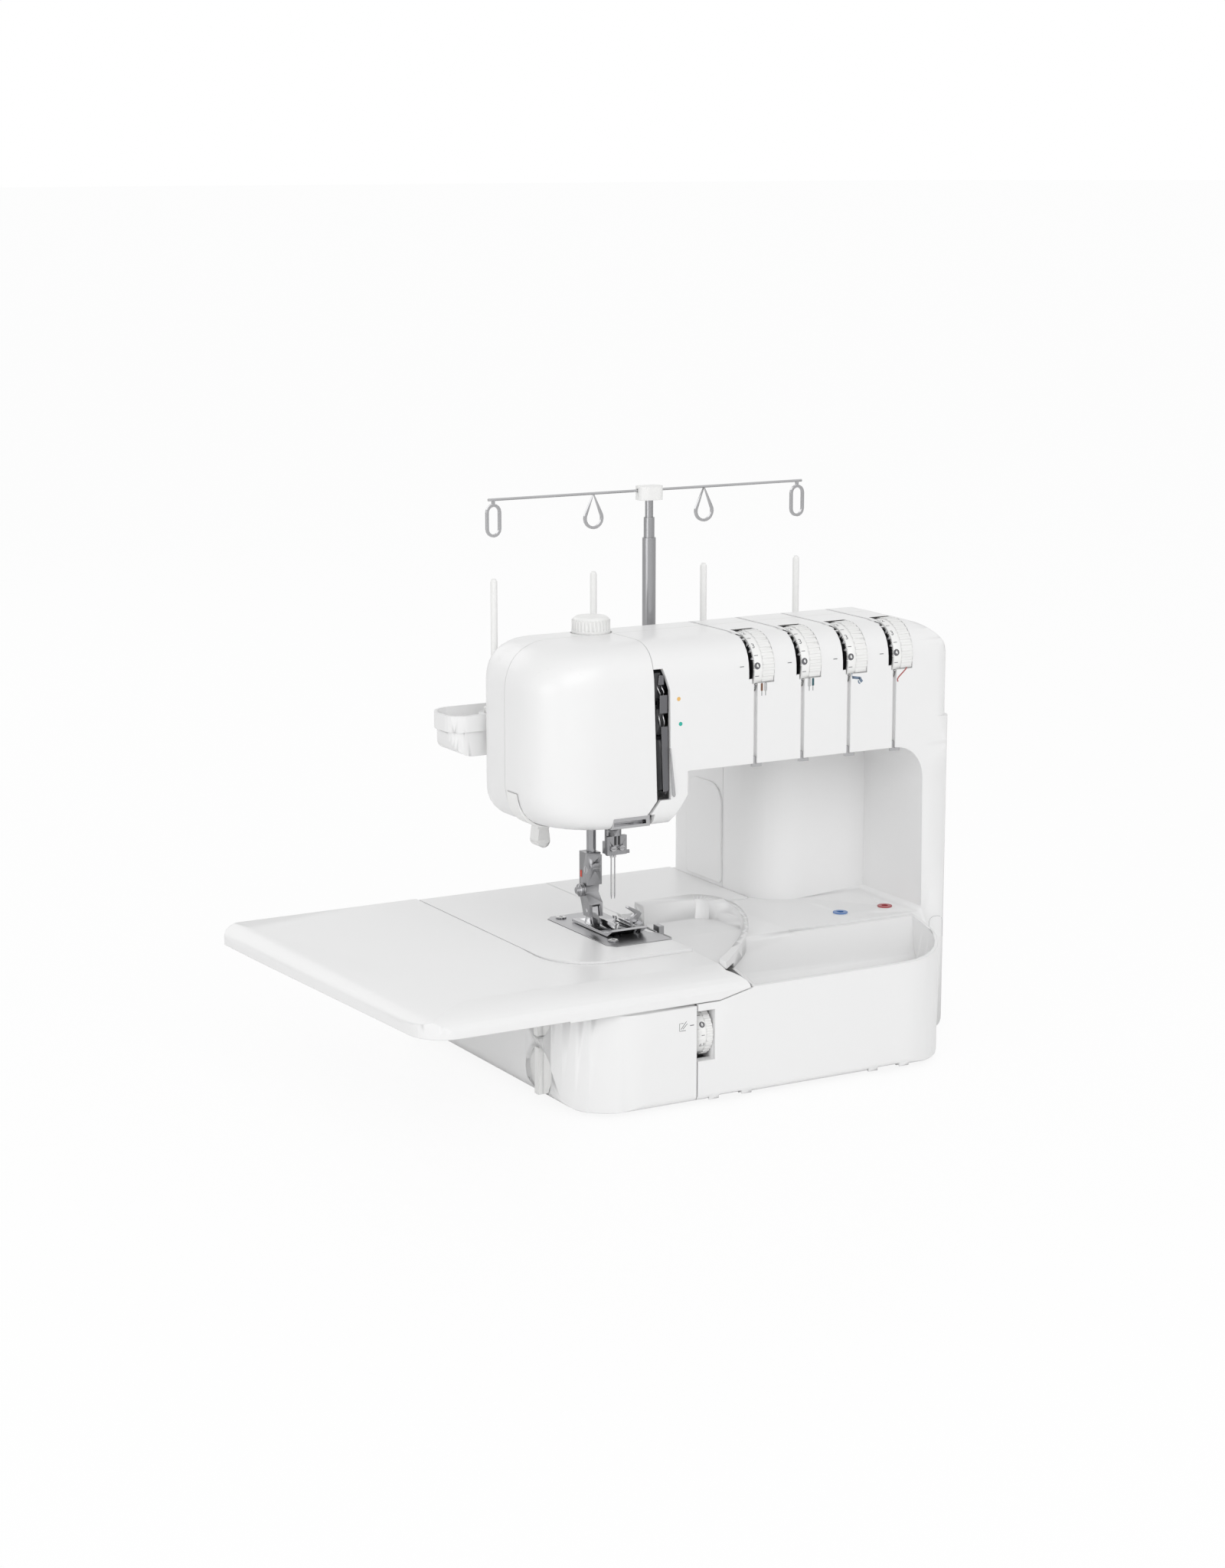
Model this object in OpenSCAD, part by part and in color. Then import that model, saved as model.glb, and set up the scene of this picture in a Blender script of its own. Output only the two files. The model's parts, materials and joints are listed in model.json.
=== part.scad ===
// Overlock sewing machine (serger), two needles and two loopers.
// X runs along the arm, Y runs from the operator to the back, Z is up.
// Every piece is placed from the middle of the base's front edge on the table top;
// the finished machine is then moved so that the origin is the bottom centre of its box.

/* [Base] */
// Width of the base where it stands
base_w = 322; // [316:1:330]
// Depth of the machine from the front of the base to its back
base_d = 285; // [278:1:296]
// Plan radius of the base's front corners
base_r = 53; // [44:1:58]
// Height of the rubber feet
foot_h = 3; // [2.5:0.5:4]
// Height of the cloth bed above the table top
bed_z = 96; // [94:1:100]
// Radius of the lower edges in front and at the back
edge_r = 5; // [4:0.5:6]
// Radius of the lower edges at the two ends
end_r = 15; // [10:1:18]
// Wall of the moulded housings
wall = 3; // [2.4:0.1:3.4]

/* [Arm and column] */
// Top of the arm
top_z = 314; // [308:1:322]
// Front face of the arm
arm_front = 75; // [73:1:76]
// Back face of the arm
arm_back = 172; // [171:1:176]
// Underside of the arm over the throat
arm_under = 221; // [219:1:226]
// Underside of the head
head_under = 183; // [181:1:186]
// Left face of the head
head_left = -147; // [-152:1:-144]
// Left face of the column
column_left = 79; // [78:1:84]
// Right face of the column
column_right = 197; // [194:1:202]
// Depth at which the niche wall of the column stands
niche_back = 150; // [147:1:153]

/* [Table and cover] */
// Left end of the slide-on table at its back corner
table_left = -303; // [-320:1:-290]
// How far the table's left edge leans in towards the front
table_lean = 24; // [16:1:30]
// Thickness of the table's moulding
table_t = 3; // [2.4:0.2:3.2]
// Width of the lower end of the looper cover's tray wall
cover_t = 2.6; // [2.2:0.1:3]
// Height of the looper cover's front edge
cover_z = 80; // [78:1:82]
// Sideways travel that frees the looper cover
cover_slide = 8; // [6:1:8]

/* [Needles and foot] */
// Needle place along the arm
needle_x = -57; // [-58:0.5:-56]
// Needle place from the front of the base
needle_y = 137; // [136:0.5:138]
// Distance between the two needles
needle_pitch = 2.8; // [2.4:0.1:3.2]
// Height of the needle points over the bed at rest
needle_rise = 22; // [20:1:24]
// Presser bar diameter
presser_d = 7; // [6.4:0.1:7.4]
// Needle bar diameter
needle_bar_d = 7.2; // [6.6:0.1:7.4]

/* [Thread tension] */
// Distance between the tension dials
dial_pitch = 40; // [39.4:0.2:40.4]
// Middle of the first dial's number band
dial_x = 28; // [27:0.5:29]
// Radius of the knurled rim of a dial
dial_r = 25; // [24:0.25:25.5]
// Width of a dial
dial_w = 16; // [14:0.5:17]
// Width of the thread grooves
groove_w = 3; // [2:0.2:3.2]

/* [Spool stand] */
// Distance of the inner pair of spool pins from the mast
pin_inner = 47; // [45:1:50]
// Distance of the outer pair of spool pins from the mast
pin_outer = 129; // [124:1:134]
// Diameter of the spool pins
pin_d = 5; // [4.6:0.2:6]
// Height of the spool pins' tops
pin_top = 350; // [340:1:352]
// Height of the thread guide bar with the mast pushed in
guide_z = 407; // [404:1:416]
// Diameter of the wire that the guide bar is bent from
guide_wire = 2; // [1.8:0.1:2.4]

/* [Drive] */
// Height of the main shaft
shaft_z = 62; // [60:1:64]
// Diameter of the main shaft
shaft_d = 12; // [10:0.5:12]
// Radius of the handwheel
wheel_r = 36; // [34:1:38]
// Width of the handwheel
wheel_w = 20; // [18:1:24]

/* [Hidden] */
$fn = 48;
// Gap between two housings that meet
seam = 0.3;
// Gap between pieces that move past each other
gap = 0.5;
// Radial play of a running fit
run = 0.05;

left_x = -base_w / 2;
right_x = base_w / 2;
back_y = base_d;
far = 600;

// The bed block that the table slides round, and its corner
bed_x = left_x + 19;
bed_y = 58;
bed_r = 40;
bed_right = needle_x + 21;
throat_x = bed_right + 4;
bed_t = 3;
table_under = bed_z - table_t;
lip_z = 74;
table_back = back_y + 3;

// The ledge beside the looper cover, and the line where base and column housings meet
ledge_x = 47;
ledge_y = 71;
ledge_z = bed_z - 1;
ledge_back = niche_back + 18.4;
cover_left = -67;
cover_back = ledge_y - 1.4;
cover_right = right_x;
hinge_y = 7;
hinge_z = 10;
hinge_d = 4;

// Split between front and back housings, in the arm and in the column
split_y = 133;
column_split = back_y - 79;
shaft_y = back_y - 80;

// The needle thread channel in the head's front, closed at its top and its bottom
channel_x0 = -59;
channel_x1 = -46;
channel_top = top_z - 18;
channel_low = head_under + 19;

// Tension dials
dial_y = arm_front + dial_r - 1;
dial_z = top_z - dial_r;
function dial_at(i) = dial_x + i * dial_pitch;

presser_x = needle_x - 13;
presser_y = needle_y + 9;

// The two knobs in the left wall, their place as (Y, Z), and the cutting width dial
side_knobs = [[60, 24], [61, 66]];
knob_r = 17;
knob_t = 8;
knob_shaft_d = 6;
width_dial_y = 17;
width_dial_z = 50;
width_dial_r = 17.5;
width_dial_w = 12;

// Needle plate
plate_x0 = needle_x - 29;
plate_x1 = bed_right;
plate_y0 = needle_y - 49;
plate_y1 = needle_y + 51;
plate_t = 2;

// Spool stand
mast_x = 6;
mast_y = 194;
tray_z0 = 226;
tray_z1 = 256;
tray_half = 174;
tray_d = 42;

// Handwheel
wheel_x = column_right + 4;
motor_y = back_y - 40;
motor_z = 34;
pulley_x = 162;
pulley_w = 9;
big_pulley_r = 24;
small_pulley_r = 8;
belt_t = 2;

// Origin at the bottom centre of the machine's box
box_x0 = table_left;
box_x1 = wheel_x + wheel_w;
box_y0 = width_dial_y - width_dial_r;
box_y1 = table_back;
origin = [(box_x0 + box_x1) / 2, (box_y0 + box_y1) / 2, 0];

// ---------- drawing helpers ----------

// Points of an arc about (cx, cy)
function arc(cx, cy, r, a0, a1, n = 8) =
    [for (i = [0:n]) let (a = a0 + (a1 - a0) * i / n) [cx + r * cos(a), cy + r * sin(a)]];

// A rectangle whose corners have the radii [left bottom, right bottom, right top, left top]
function round_rect(x0, y0, x1, y1, r) = concat(
    arc(x0 + r[0], y0 + r[0], r[0], 180, 270), arc(x1 - r[1], y0 + r[1], r[1], -90, 0),
    arc(x1 - r[2], y1 - r[2], r[2], 0, 90), arc(x0 + r[3], y1 - r[3], r[3], 90, 180));

// Radii of an outline that has been drawn in by d
function inset(r, d) = [for (v = r) max(v - d, 0.5)];

// Extrudes a drawing of (X, Z) from y0 to y1
module along_y(y0, y1) translate([0, y1, 0]) rotate([90, 0, 0]) linear_extrude(y1 - y0) children();
// Extrudes a drawing of (Y, Z) from x0 to x1
module along_x(x0, x1) translate([x0, 0, 0]) rotate([90, 0, 90]) linear_extrude(x1 - x0) children();
// Extrudes a drawing of (X, Y) from z0 to z1
module along_z(z0, z1) translate([0, 0, z0]) linear_extrude(z1 - z0) children();
// A box given by two opposite corners
module box(a, b) translate(a) cube(b - a);
// A round bar along X, Y or Z
module bar_x(x0, x1, y, z, d) translate([x0, y, z]) rotate([0, 90, 0]) cylinder(h = x1 - x0, d = d);
module bar_y(y0, y1, x, z, d) translate([x, y1, z]) rotate([90, 0, 0]) cylinder(h = y1 - y0, d = d);
module bar_z(z0, z1, x, y, d) translate([x, y, z0]) cylinder(h = z1 - z0, d = d);
// Moves a piece from the middle of the base's front edge to the machine's own frame
module placed() translate(-origin) children();

// ---------- forms that several housings are cut from ----------

// Arm and head, drawn in by d from their outer faces
module arm_form(d = 0) {
    head_right = channel_x1 + 15;
    intersection() {
        along_y(0, far) difference() {
            polygon(round_rect(head_left + d, head_under + d, column_right - d, top_z - d,
                               inset([28, 20, 42, 32], d)));
            polygon([[head_right - 12 - d, 0], [head_right - 12 - d, head_under + 4 + d],
                     [head_right - d, head_under + 21 + d], [head_right - d, arm_under + d],
                     [far, arm_under + d], [far, 0]]);
        }
        along_x(-far, far)
            polygon(round_rect(arm_front + d, head_under + d, arm_back - d, top_z - d,
                               inset([12, 10, 18, 24], d)));
        along_z(0, far)
            polygon(round_rect(head_left + d, arm_front + d, column_right - d, arm_back - d,
                               inset([42, 14, 24, 14], d)));
    }
}

// Column with the ledge in front of it, drawn in by d
module column_form(d = 0) {
    deck = arm_under + 5;
    intersection() {
        along_x(ledge_x, column_right - d)
            polygon(concat([[ledge_y + d, -1], [back_y - d, -1]],
                           arc(back_y - 26, deck - 34, 26 - d, 0, 80),
                           [[arm_back - 6, deck - d], [arm_back - 6, arm_under + 20],
                            [arm_front + d, arm_under + 20], [arm_front + d, arm_under]]));
        along_z(-1, far)
            polygon(round_rect(-far, ledge_y + d, column_right - d, back_y - d, inset([14, 14, 26, 14], d)));
        lower_edges(d);
        union() {
            // the column itself
            along_z(-1, far)
                polygon(round_rect(column_left + d, ledge_y - 10, column_right - d, back_y - d,
                                   inset([1, 14, 26, 12], d)));
            // everything under the bed's height
            box([-far, 0, -1], [far, far, ledge_z - d]);
        }
    }
}

// Everything inside the lower edges, which are rounded all round; drawn in by d
module lower_edges(d = 0) intersection() {
    along_x(-far, far) polygon(round_rect(d, foot_h + d, back_y - d, far, inset([edge_r, edge_r, 4, 4], d)));
    along_y(-1, far)
        polygon(round_rect(left_x + d, foot_h + d, column_right - d, far, inset([end_r, end_r, 4, 4], d)));
}

// Flat part of the underside, drawn in by d
module flat_bottom(d = 0) translate([left_x + end_r + d, edge_r + d])
    square([column_right - left_x - 2 * (end_r + d), base_d - 2 * (edge_r + d)]);

// The niche in the column, grown by d
module niche_form(d = 0) {
    along_y(0, niche_back + d)
        polygon(round_rect(column_left - 60, ledge_z - d, column_right - 26 + d, arm_under + d,
                           [1, 4 + d, 24 + d, 1]));
    // its back wall turns into the column's left face with a wide sweep
    along_z(ledge_z - d, arm_under + d) polygon(concat(
        [[column_left - 60, 0], [column_left + 40, 0], [column_left + 40, niche_back + d]],
        arc(column_left + 34, niche_back + 34, 34 - d, -90, -180),
        [[column_left - 60, niche_back + 34]]));
}

// Front profile of the base and the table: a quarter of an ellipse down to the lip
function roll(y0, depth, z_low, z_high, n = 10) =
    [for (i = [0:n]) [y0 + depth * (1 - cos(90 * i / n)), z_low + (z_high - z_low) * sin(90 * i / n)]];

// Plan of the left part of the base, drawn in by d
module base_plan(d = 0) polygon(concat(
    arc(left_x + base_r, base_r, base_r - d, 180, 270),
    [[cover_left - seam, d], [cover_left - seam, 0 - (d > 0 ? 1 : 0)], [ledge_x - seam, 0 - (d > 0 ? 1 : 0)],
     [ledge_x - seam, ledge_back + seam], [column_left - seam, ledge_back + seam],
     [column_left - seam, back_y - d]],
    arc(left_x + 30, back_y - 30, 30 - d, 90, 180)));

// The base's left part, drawn in by d: it follows the table's underside, the bed block rises
// out of it, and the throat's floor is level with the cloth bed
module base_form(d = 0) intersection() {
    along_z(foot_h, bed_z + 1) base_plan(d);
    lower_edges(d);
    union() {
        along_x(-far, column_left + 1)
            polygon(concat([[0, 0], [0, lip_z - 2 - d], [table_t + gap + d, lip_z - 2 - d]],
                           roll(table_t + gap + d, 50 - d, lip_z - 2 - d, table_under - 4 - d),
                           [[back_y, table_under - 4 - d], [back_y, 0]]));
        along_z(0, bed_z - bed_t - d) bed_block(d);
        box([throat_x + d, ledge_back + seam + (d > 0 ? wall : 0), 0], [column_left, back_y, bed_z - d]);
    }
}
module bed_block(d = 0) polygon(concat(
    arc(bed_x + bed_r, bed_y + bed_r, bed_r - d, 180, 270),
    [[column_left, bed_y + d], [column_left, back_y], [bed_x + d, back_y]]));

// ---------- base ----------

// Room for the loopers and knives under the cover and the needle plate
module looper_bay() {
    box([cover_left - 1, -1, foot_h - 1], [ledge_x + 1, bed_y + 20, bed_z - bed_t - 3]);
    box([needle_x - 28, bed_y + 18, foot_h - 1], [ledge_x + 1, bay_back - 1, bed_z - bed_t - 3]);
    box([needle_x - 25, plate_y0 + 20, 40], [bed_right + 1, plate_y1 - 13, bed_z + 1]);
    box([bed_right - 0.5, -1, 40], [ledge_x + 1, ledge_back - seam - 1, bed_z + 1]);
}

module base_housing() color("white") placed() {
    difference() {
        base_form();
        base_form(wall);
        // opening for the base pan
        along_z(0, foot_h + end_r) intersection() {
            base_plan(wall);
            flat_bottom();
        }
        box([column_left - wall - 1, ledge_back + wall, foot_h - 1],
            [column_left + 1, back_y - wall, bed_z - wall]);
        looper_bay();
        for (k = side_knobs) {
            bar_x(left_x - 1, left_x + knob_t + 1, k[0], k[1], 2 * knob_r + 2);
            bar_x(left_x - 1, left_x + 40, k[0], k[1], knob_shaft_d + 2 * run);
        }
        for (p = plate_screws) bar_z(bed_z - 8, bed_z, p[0], p[1], screw_d + 0.2);
    }
    // wall between the base's left part and the looper bay
    difference() {
        intersection() {
            base_form();
            box([cover_left - 1 - wall, 1, 0], [cover_left - 1, bed_y + 18, bed_z]);
        }
        bar_x(cover_left - 15, cover_left, width_dial_y, width_dial_z, knob_shaft_d + 2 * run);
        box([cover_left - 5, 0, 0], [cover_left, far, foot_h + 3]);
    }
    // cups behind the two side knobs
    for (k = side_knobs) difference() {
        intersection() {
            bar_x(left_x + 1, left_x + knob_t + 1 + wall, k[0], k[1], 2 * knob_r + 2 + 2 * wall);
            base_form(0.5);
        }
        bar_x(left_x - 1, left_x + knob_t + 1, k[0], k[1], 2 * knob_r + 2);
        bar_x(left_x - 1, left_x + 40, k[0], k[1], knob_shaft_d + 2 * run);
    }
    // bearing lug of the cutting width dial
    difference() {
        box([cover_left - 14, width_dial_y - 8, width_dial_z - 8],
            [cover_left - 4, width_dial_y + 8, width_dial_z + 8]);
        bar_x(cover_left - 15, cover_left - 3, width_dial_y, width_dial_z, knob_shaft_d + 2 * run);
    }
    box([cover_left - 14, wall - 1, width_dial_z - 8], [cover_left - 4, width_dial_y - 7.9, width_dial_z + 8]);
}

// Plate that closes the base from below, with the lugs of the cover's hinge rod
module base_pan() color("lightgray") placed() {
    z0 = foot_h + 0.2;
    difference() {
        union() {
            along_z(z0, z0 + 2.5) {
                difference() {
                    intersection() {
                        base_plan(wall + 0.4);
                        flat_bottom(0.4);
                    }
                    translate([cover_left - wall - 1.4, -5]) square([200, pan_front + 5]);
                    translate([left_x, side_knobs[0][0] - 14]) square([knob_t + wall + 2, 28]);
                }
                polygon(round_rect(cover_left + 1, pan_front, cover_right - end_r - 0.4, ledge_y - 0.4,
                                   [1, 26, 1, 1]));
                column_pan(0.4);
            }
            for (x = hinge_lugs)
                along_x(x, x + 8) polygon(concat([[hinge_y + 10, z0], [hinge_y + 24, z0]],
                                               arc(hinge_y, hinge_z, 4, 60, 325, 16)));
        }
        bar_x(cover_left, cover_right, hinge_y, hinge_z, hinge_d + 2 * run);
    }
}
hinge_lugs = [-40, 94];
pan_front = 18;

// Four feet of the base
module rubber_feet() color("dimgray") placed()
    for (p = [[left_x + 42, 42], [right_x - 40, 40],
              [left_x + 30, back_y - 30], [column_right - 34, back_y - 34]])
        translate([p[0], p[1], 0]) {
            cylinder(h = foot_h, r1 = 8, r2 = 9, $fn = 40);
            cylinder(h = foot_h + 0.2, r = 6);
        }

// Cast frame inside: shaft bearings, post in the column, beam in the arm, guides of the two bars
module machine_frame() color("silver") placed() difference() {
    union() {
        // beam in the base with three bearing blocks
        box([needle_x - 10, shaft_y + 12, foot_h + 2.7], [bearings[2] + 6, shaft_y + 18, 40]);
        for (x = bearings) box([x - 6, shaft_y - 12, 20], [x + 6, shaft_y + 18, shaft_z + 14]);
        // plate behind the loopers, with their two shafts and the knife's guide
        box([needle_x - 22, bay_back, foot_h + 2.7], [ledge_x - 6, bay_back + 6, bed_z - 12]);
        box([needle_x - 22, bay_back + 5, foot_h + 2.7], [needle_x - 10, shaft_y + 18, 24]);
        for (i = [0, 1]) bar_y(needle_y - 18, bay_back + 1, looper_pivot[i][0], looper_pivot[i][1], 8);
        // guide of the upper knife's stem, and the arm that holds the lower knife
        box([knife_x + 6.7, needle_y - 24, foot_h + 2.7], [knife_x + 11, bay_back + 1, 24]);
        box([knife_x - 6, needle_y - 24, 44], [knife_x - 1.4, bay_back + 1, 56]);
        box([knife_x - 6, needle_y - 24, 44], [knife_x - 1.4, needle_y - 12, bed_z - 16]);
        // post
        box([post_x, presser_y + 8, 90], [post_x + 34, presser_y + 18, 290]);
        box([post_x, presser_y + 8, 90], [post_x + 34, shaft_y + 18, 100]);
        box([post_x, shaft_y + 12, 38], [post_x + 34, shaft_y + 18, 100]);
        // beam in the arm
        box([needle_x - 42, presser_y + 8, 244], [post_x + 34, presser_y + 16, 290]);
        // bracket with the take-up lever's stud, and the boss of the presser lifter
        box([channel_x0 + 10.5, take_up_pivot[0] - 7, 244], [channel_x0 + 14.5, presser_y + 9, 257]);
        bar_x(channel_x0 + 2.5, channel_x0 + 11, take_up_pivot[0], take_up_pivot[1], take_up_stud);
        box([lifter_x - 8, presser_y + 8, lifter_z - 8], [presser_x - 8, presser_y + 16, lifter_z + 8]);
        // guides of the needle bar and the presser bar
        for (z = bar_guides) box([presser_x - 9, needle_y - 8, z], [needle_x + 9, presser_y + 16, z + 12]);
        box([presser_x - 9, presser_y + 8, bar_guides[0]], [needle_x + 9, presser_y + 16, 290]);
    }
    for (x = bearings) bar_x(x - 7, x + 7, shaft_y, shaft_z, bush_d);
    for (z = bar_guides) {
        bar_z(z - 1, z + 13, needle_x, needle_y, needle_bar_d + 2 * run);
        bar_z(z - 1, z + 13, presser_x, presser_y, presser_d + 2 * run);
    }
    // window for the feed bar
    box([feed_bar_x - 5, bay_back - 1, bed_z - 24], [feed_bar_x + 5, bay_back + 7, bed_z - 4]);
    // swivel hole of the presser lifter
    bar_y(presser_y, presser_y + 30, lifter_x, lifter_z, lifter_pin + 2 * run);
}
bearings = [-30, 64, 150];
post_x = 112;
bay_back = needle_y + 23;
bush_d = shaft_d + 6;
bar_guides = [188, 262];

module shaft_bushes() color("goldenrod") placed()
    for (x = bearings) difference() {
        bar_x(x - 7, x + 7, shaft_y, shaft_z, bush_d);
        bar_x(x - 8, x + 8, shaft_y, shaft_z, shaft_d + 2 * run);
    }

// Main shaft with the looper crank and the feed eccentric
module main_shaft() color("lightsteelblue") placed() {
    bar_x(feed_bar_x - 8, wheel_x + wheel_w - 6, shaft_y, shaft_z, shaft_d);
    bar_x(feed_bar_x - 4, feed_bar_x + 4, shaft_y, shaft_z, 22);
    bar_x(18, 26, shaft_y, shaft_z, 24);
}

// ---------- arm and column housings ----------

module top_grooves() for (i = [0:3]) let (x = dial_at(i)) {
    // dial opening in the rounded front edge
    box([x - 6, arm_front - 5, dial_z - 5], [x - 4 + dial_w + gap, dial_y + 3, top_z + 5]);
    bar_x(x - 6, x - 4 + dial_w + gap, dial_y, dial_z, 2 * (dial_r + 0.8));
    // front groove from the dial down to the arm's lower edge
    box([x - 1.5 - groove_w, arm_front - 5, arm_under - 5], [x - 1.5, arm_front + 3.6, dial_z + 2]);
    // groove over the top, to the left of the dial, then straight to the back
    box([x - 12, dial_y - 4, top_z - 3.4], [x - 12 + groove_w - 0.6, arm_back + 5, top_z + 5]);
    along_z(top_z - 3.4, top_z + 5)
        polygon([[x - 12, dial_y - 4], [x - 12 + groove_w - 0.6, dial_y - 4], [x - 4, dial_y - 12],
                 [x - 6.4, dial_y - 12]]);
}
// Ribs behind the grooves, so that a groove never opens into the arm
module groove_ribs() intersection() {
    arm_form(0.5);
    for (i = [0:3]) let (x = dial_at(i)) {
        box([x - 9, arm_front, arm_under + 1], [x + 4, arm_front + 7, dial_z - 8]);
        box([x - 15, arm_front, top_z - 7], [x - 5, arm_back, top_z]);
        // cheeks on both sides of the dial, which carry its spindle
        for (c = [x - 9, x - 3 + dial_w])
            along_x(c, c + 2.4) polygon([[arm_front, dial_z - 14], [dial_y + 14, dial_z - 14],
                                         [dial_y + 22, top_z], [arm_front, top_z]]);
    }
}

module housings() difference() {
    union() {
        arm_form();
        difference() {
            column_form();
            niche_form();
        }
    }
    difference() {
        union() {
            arm_form(wall);
            column_form(wall);
        }
        difference() {
            niche_form(wall);
            box([-far, 0, arm_under + wall], [far, far, far]);
        }
    }
    // opening for the base pan
    along_z(-1, foot_h + end_r) column_pan();
}

// Plan of the opening under the column, drawn in by d
module column_pan(d = 0) intersection() {
    polygon(round_rect(ledge_x - 1, ledge_y + wall + 0.4, column_right - wall, back_y - wall, [1, 10, 22, 1]));
    flat_bottom(d);
}

// Which side of the split a point is on: the arm splits further forward than the column
module behind_split(d = 0) {
    box([-far, split_y + d, head_under - 5], [ledge_x - 8, far, far]);
    box([-far, split_y + d, arm_under - 8], [far, far, far]);
    box([ledge_x - 10, column_split + d, -5], [far, far, far]);
}

module front_housing() color("white") placed() difference() {
    union() {
        difference() {
            housings();
            behind_split();
        }
        difference() {
            groove_ribs();
            behind_split();
        }
    }
    along_y(-1, far) {
        head_cover_share();
        channel_outline();
    }
    clamp_guide_window();
    base_share();
    top_grooves();
    spindle_bores();
    port_holes();
    shaft_hole();
    base_of_head();
}
// Front view of the head cover's share: its edge leans along the channel, then turns down to
// the needle clamp beside the groove that leads the thread there
module head_cover_share(d = 0) polygon([
    [-far, -1], [channel_x0 - 5 - d, -1], [channel_x0 - 5 - d, head_under + 9], [channel_x0 + 3 - d, channel_low],
    [channel_x0 - d, channel_top], [channel_x0 - d, far], [-far, far]]);
// Front view of the channel and of the groove below it
module channel_outline() polygon([
    [channel_x0 - 1, channel_top], [channel_x0 + 7.5, channel_top], [channel_x1, channel_top - 16],
    [channel_x1 + 1, channel_low], [channel_x0 + 5.6, channel_low], [channel_x0 - 2.6, head_under + 9],
    [channel_x0 - 2.6, head_under + 6], [channel_x0 - 6, head_under + 6], [channel_x0 - 6, head_under + 9],
    [channel_x0 + 2, channel_low]]);
// Hole of the handwheel's hub in the column's right wall
module shaft_hole() bar_x(column_right - 10, column_right + 5, shaft_y, shaft_z, shaft_d + 5);
// What belongs to the base and its feet
module base_share() {
    box([ledge_x - 1, ledge_back, -5], [column_left, far, bed_z + seam]);
    box([-far, 0, -5], [far, far, foot_h]);
}
module spindle_bores() for (i = [0:3])
    bar_x(dial_at(i) - 12, dial_at(i) + dial_w + 4, dial_y, dial_z, spindle_d);
spindle_d = 5;

module rear_housing() color("white") placed() difference() {
    union() {
        intersection() {
            housings();
            behind_split(seam);
        }
        intersection() {
            groove_ribs();
            behind_split(seam);
        }
    }
    base_share();
    top_grooves();
    knob_recess();
    shaft_hole();
    base_of_head();
    // openings of the switch and the inlet
    box([column_right - 10, switch_y - 7.4, switch_z - 7], [column_right + 5, switch_y + 7.4, switch_z + 7]);
    box([column_right - 10, inlet_y - 14, inlet_z - 10], [column_right + 5, inlet_y + 14, inlet_z + 10]);
    // slot of the presser lifter
    bar_y(arm_back - wall - 1, arm_back + 1, lifter_x, lifter_z, 14);
    for (p = arm_screws) {
        bar_y(arm_back - 1.2, arm_back + 1, p[0], p[1], 7.4);
        bar_y(arm_back - wall - 1, arm_back + 1, p[0], p[1], screw_d + 0.2);
    }
    // foot of the spool stand's mast
    for (x = [mast_x - 60, mast_x + 60])
        bar_y(arm_back - wall - 1, arm_back + 1, x, tray_z0 + 12, 4);
}
// Round recess in the arm's top for the pressure knob
module knob_recess() {
    bar_z(top_z - 5, top_z + 5, presser_x, presser_y, 2 * pressure_r + 2);
    bar_z(top_z - 20, top_z + 5, presser_x, presser_y, 9);
}
pressure_r = 14;
// The inlet and the switch lie behind the handwheel's rim, so that a plug can reach its socket
inlet_y = shaft_y + wheel_r + 17;
switch_y = inlet_y;
switch_z = 78;
inlet_z = 46;
lifter_x = needle_x - 39;
lifter_z = 200;
lifter_pin = 8;

// Front of the head, left of the needle thread channel
module head_cover() color("white") placed() difference() {
    intersection() {
        difference() {
            arm_form();
            arm_form(wall);
        }
        along_y(0, split_y) head_cover_share(seam);
    }
    clamp_guide_window();
    base_of_head();
    knob_recess();
    box(lamp_a - [0.2, 0.2, 5], lamp_b + [0.2, 0.2, 5]);
}
// Window for the thread guide over the needle clamp
module clamp_guide_window()
    box([needle_x - 34.3, arm_front - 1, head_under - 1], [channel_x0 + 1, arm_front + 14.3, head_under + 9.3]);
// Opening in the head's underside for both bars and the lifter
module base_of_head() {
    box([presser_x - 10, needle_y - 12, head_under - 1], [needle_x + 12, presser_y + 13, head_under + 6]);
}

// Flat cover in the column's left wall
side_cover_y = [column_split + 1, back_y - 27];
side_cover_top = arm_under - 45;
module column_side_cover() color("white") placed()
    along_x(column_left - 1.2, column_left) polygon(
        round_rect(side_cover_y[0], bed_z + 3, side_cover_y[1], side_cover_top,
                   [for (v = [0.06, 0.06, 0.31, 0.31]) v * (side_cover_y[1] - side_cover_y[0])]));

module bed_cover() color("white") placed() difference() {
    along_z(bed_z - bed_t, bed_z) difference() {
        polygon(concat(arc(bed_x + bed_r, bed_y + bed_r, bed_r - gap, 180, 270),
                       [[bed_right - gap, bed_y + gap], [bed_right - gap, ledge_back - 4],
                        [throat_x - gap, ledge_back + 6], [throat_x - gap, back_y - 0.5],
                        [bed_x + gap, back_y - 0.5]]));
        needle_plate_plan(seam);
    }
}
module needle_plate_plan(d = 0) polygon([
    [plate_x0 - d, plate_y0 + 7], [plate_x0 + 4, plate_y0 - d], [plate_x1 + d, plate_y0 - d],
    [plate_x1 + d, plate_y0 + 20], [plate_x1 - 5 + d, plate_y0 + 26], [plate_x1 - 5 + d, plate_y1 + d],
    [plate_x0 + 5, plate_y1 + d], [plate_x0 - d, plate_y1 - 5]]);

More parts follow.
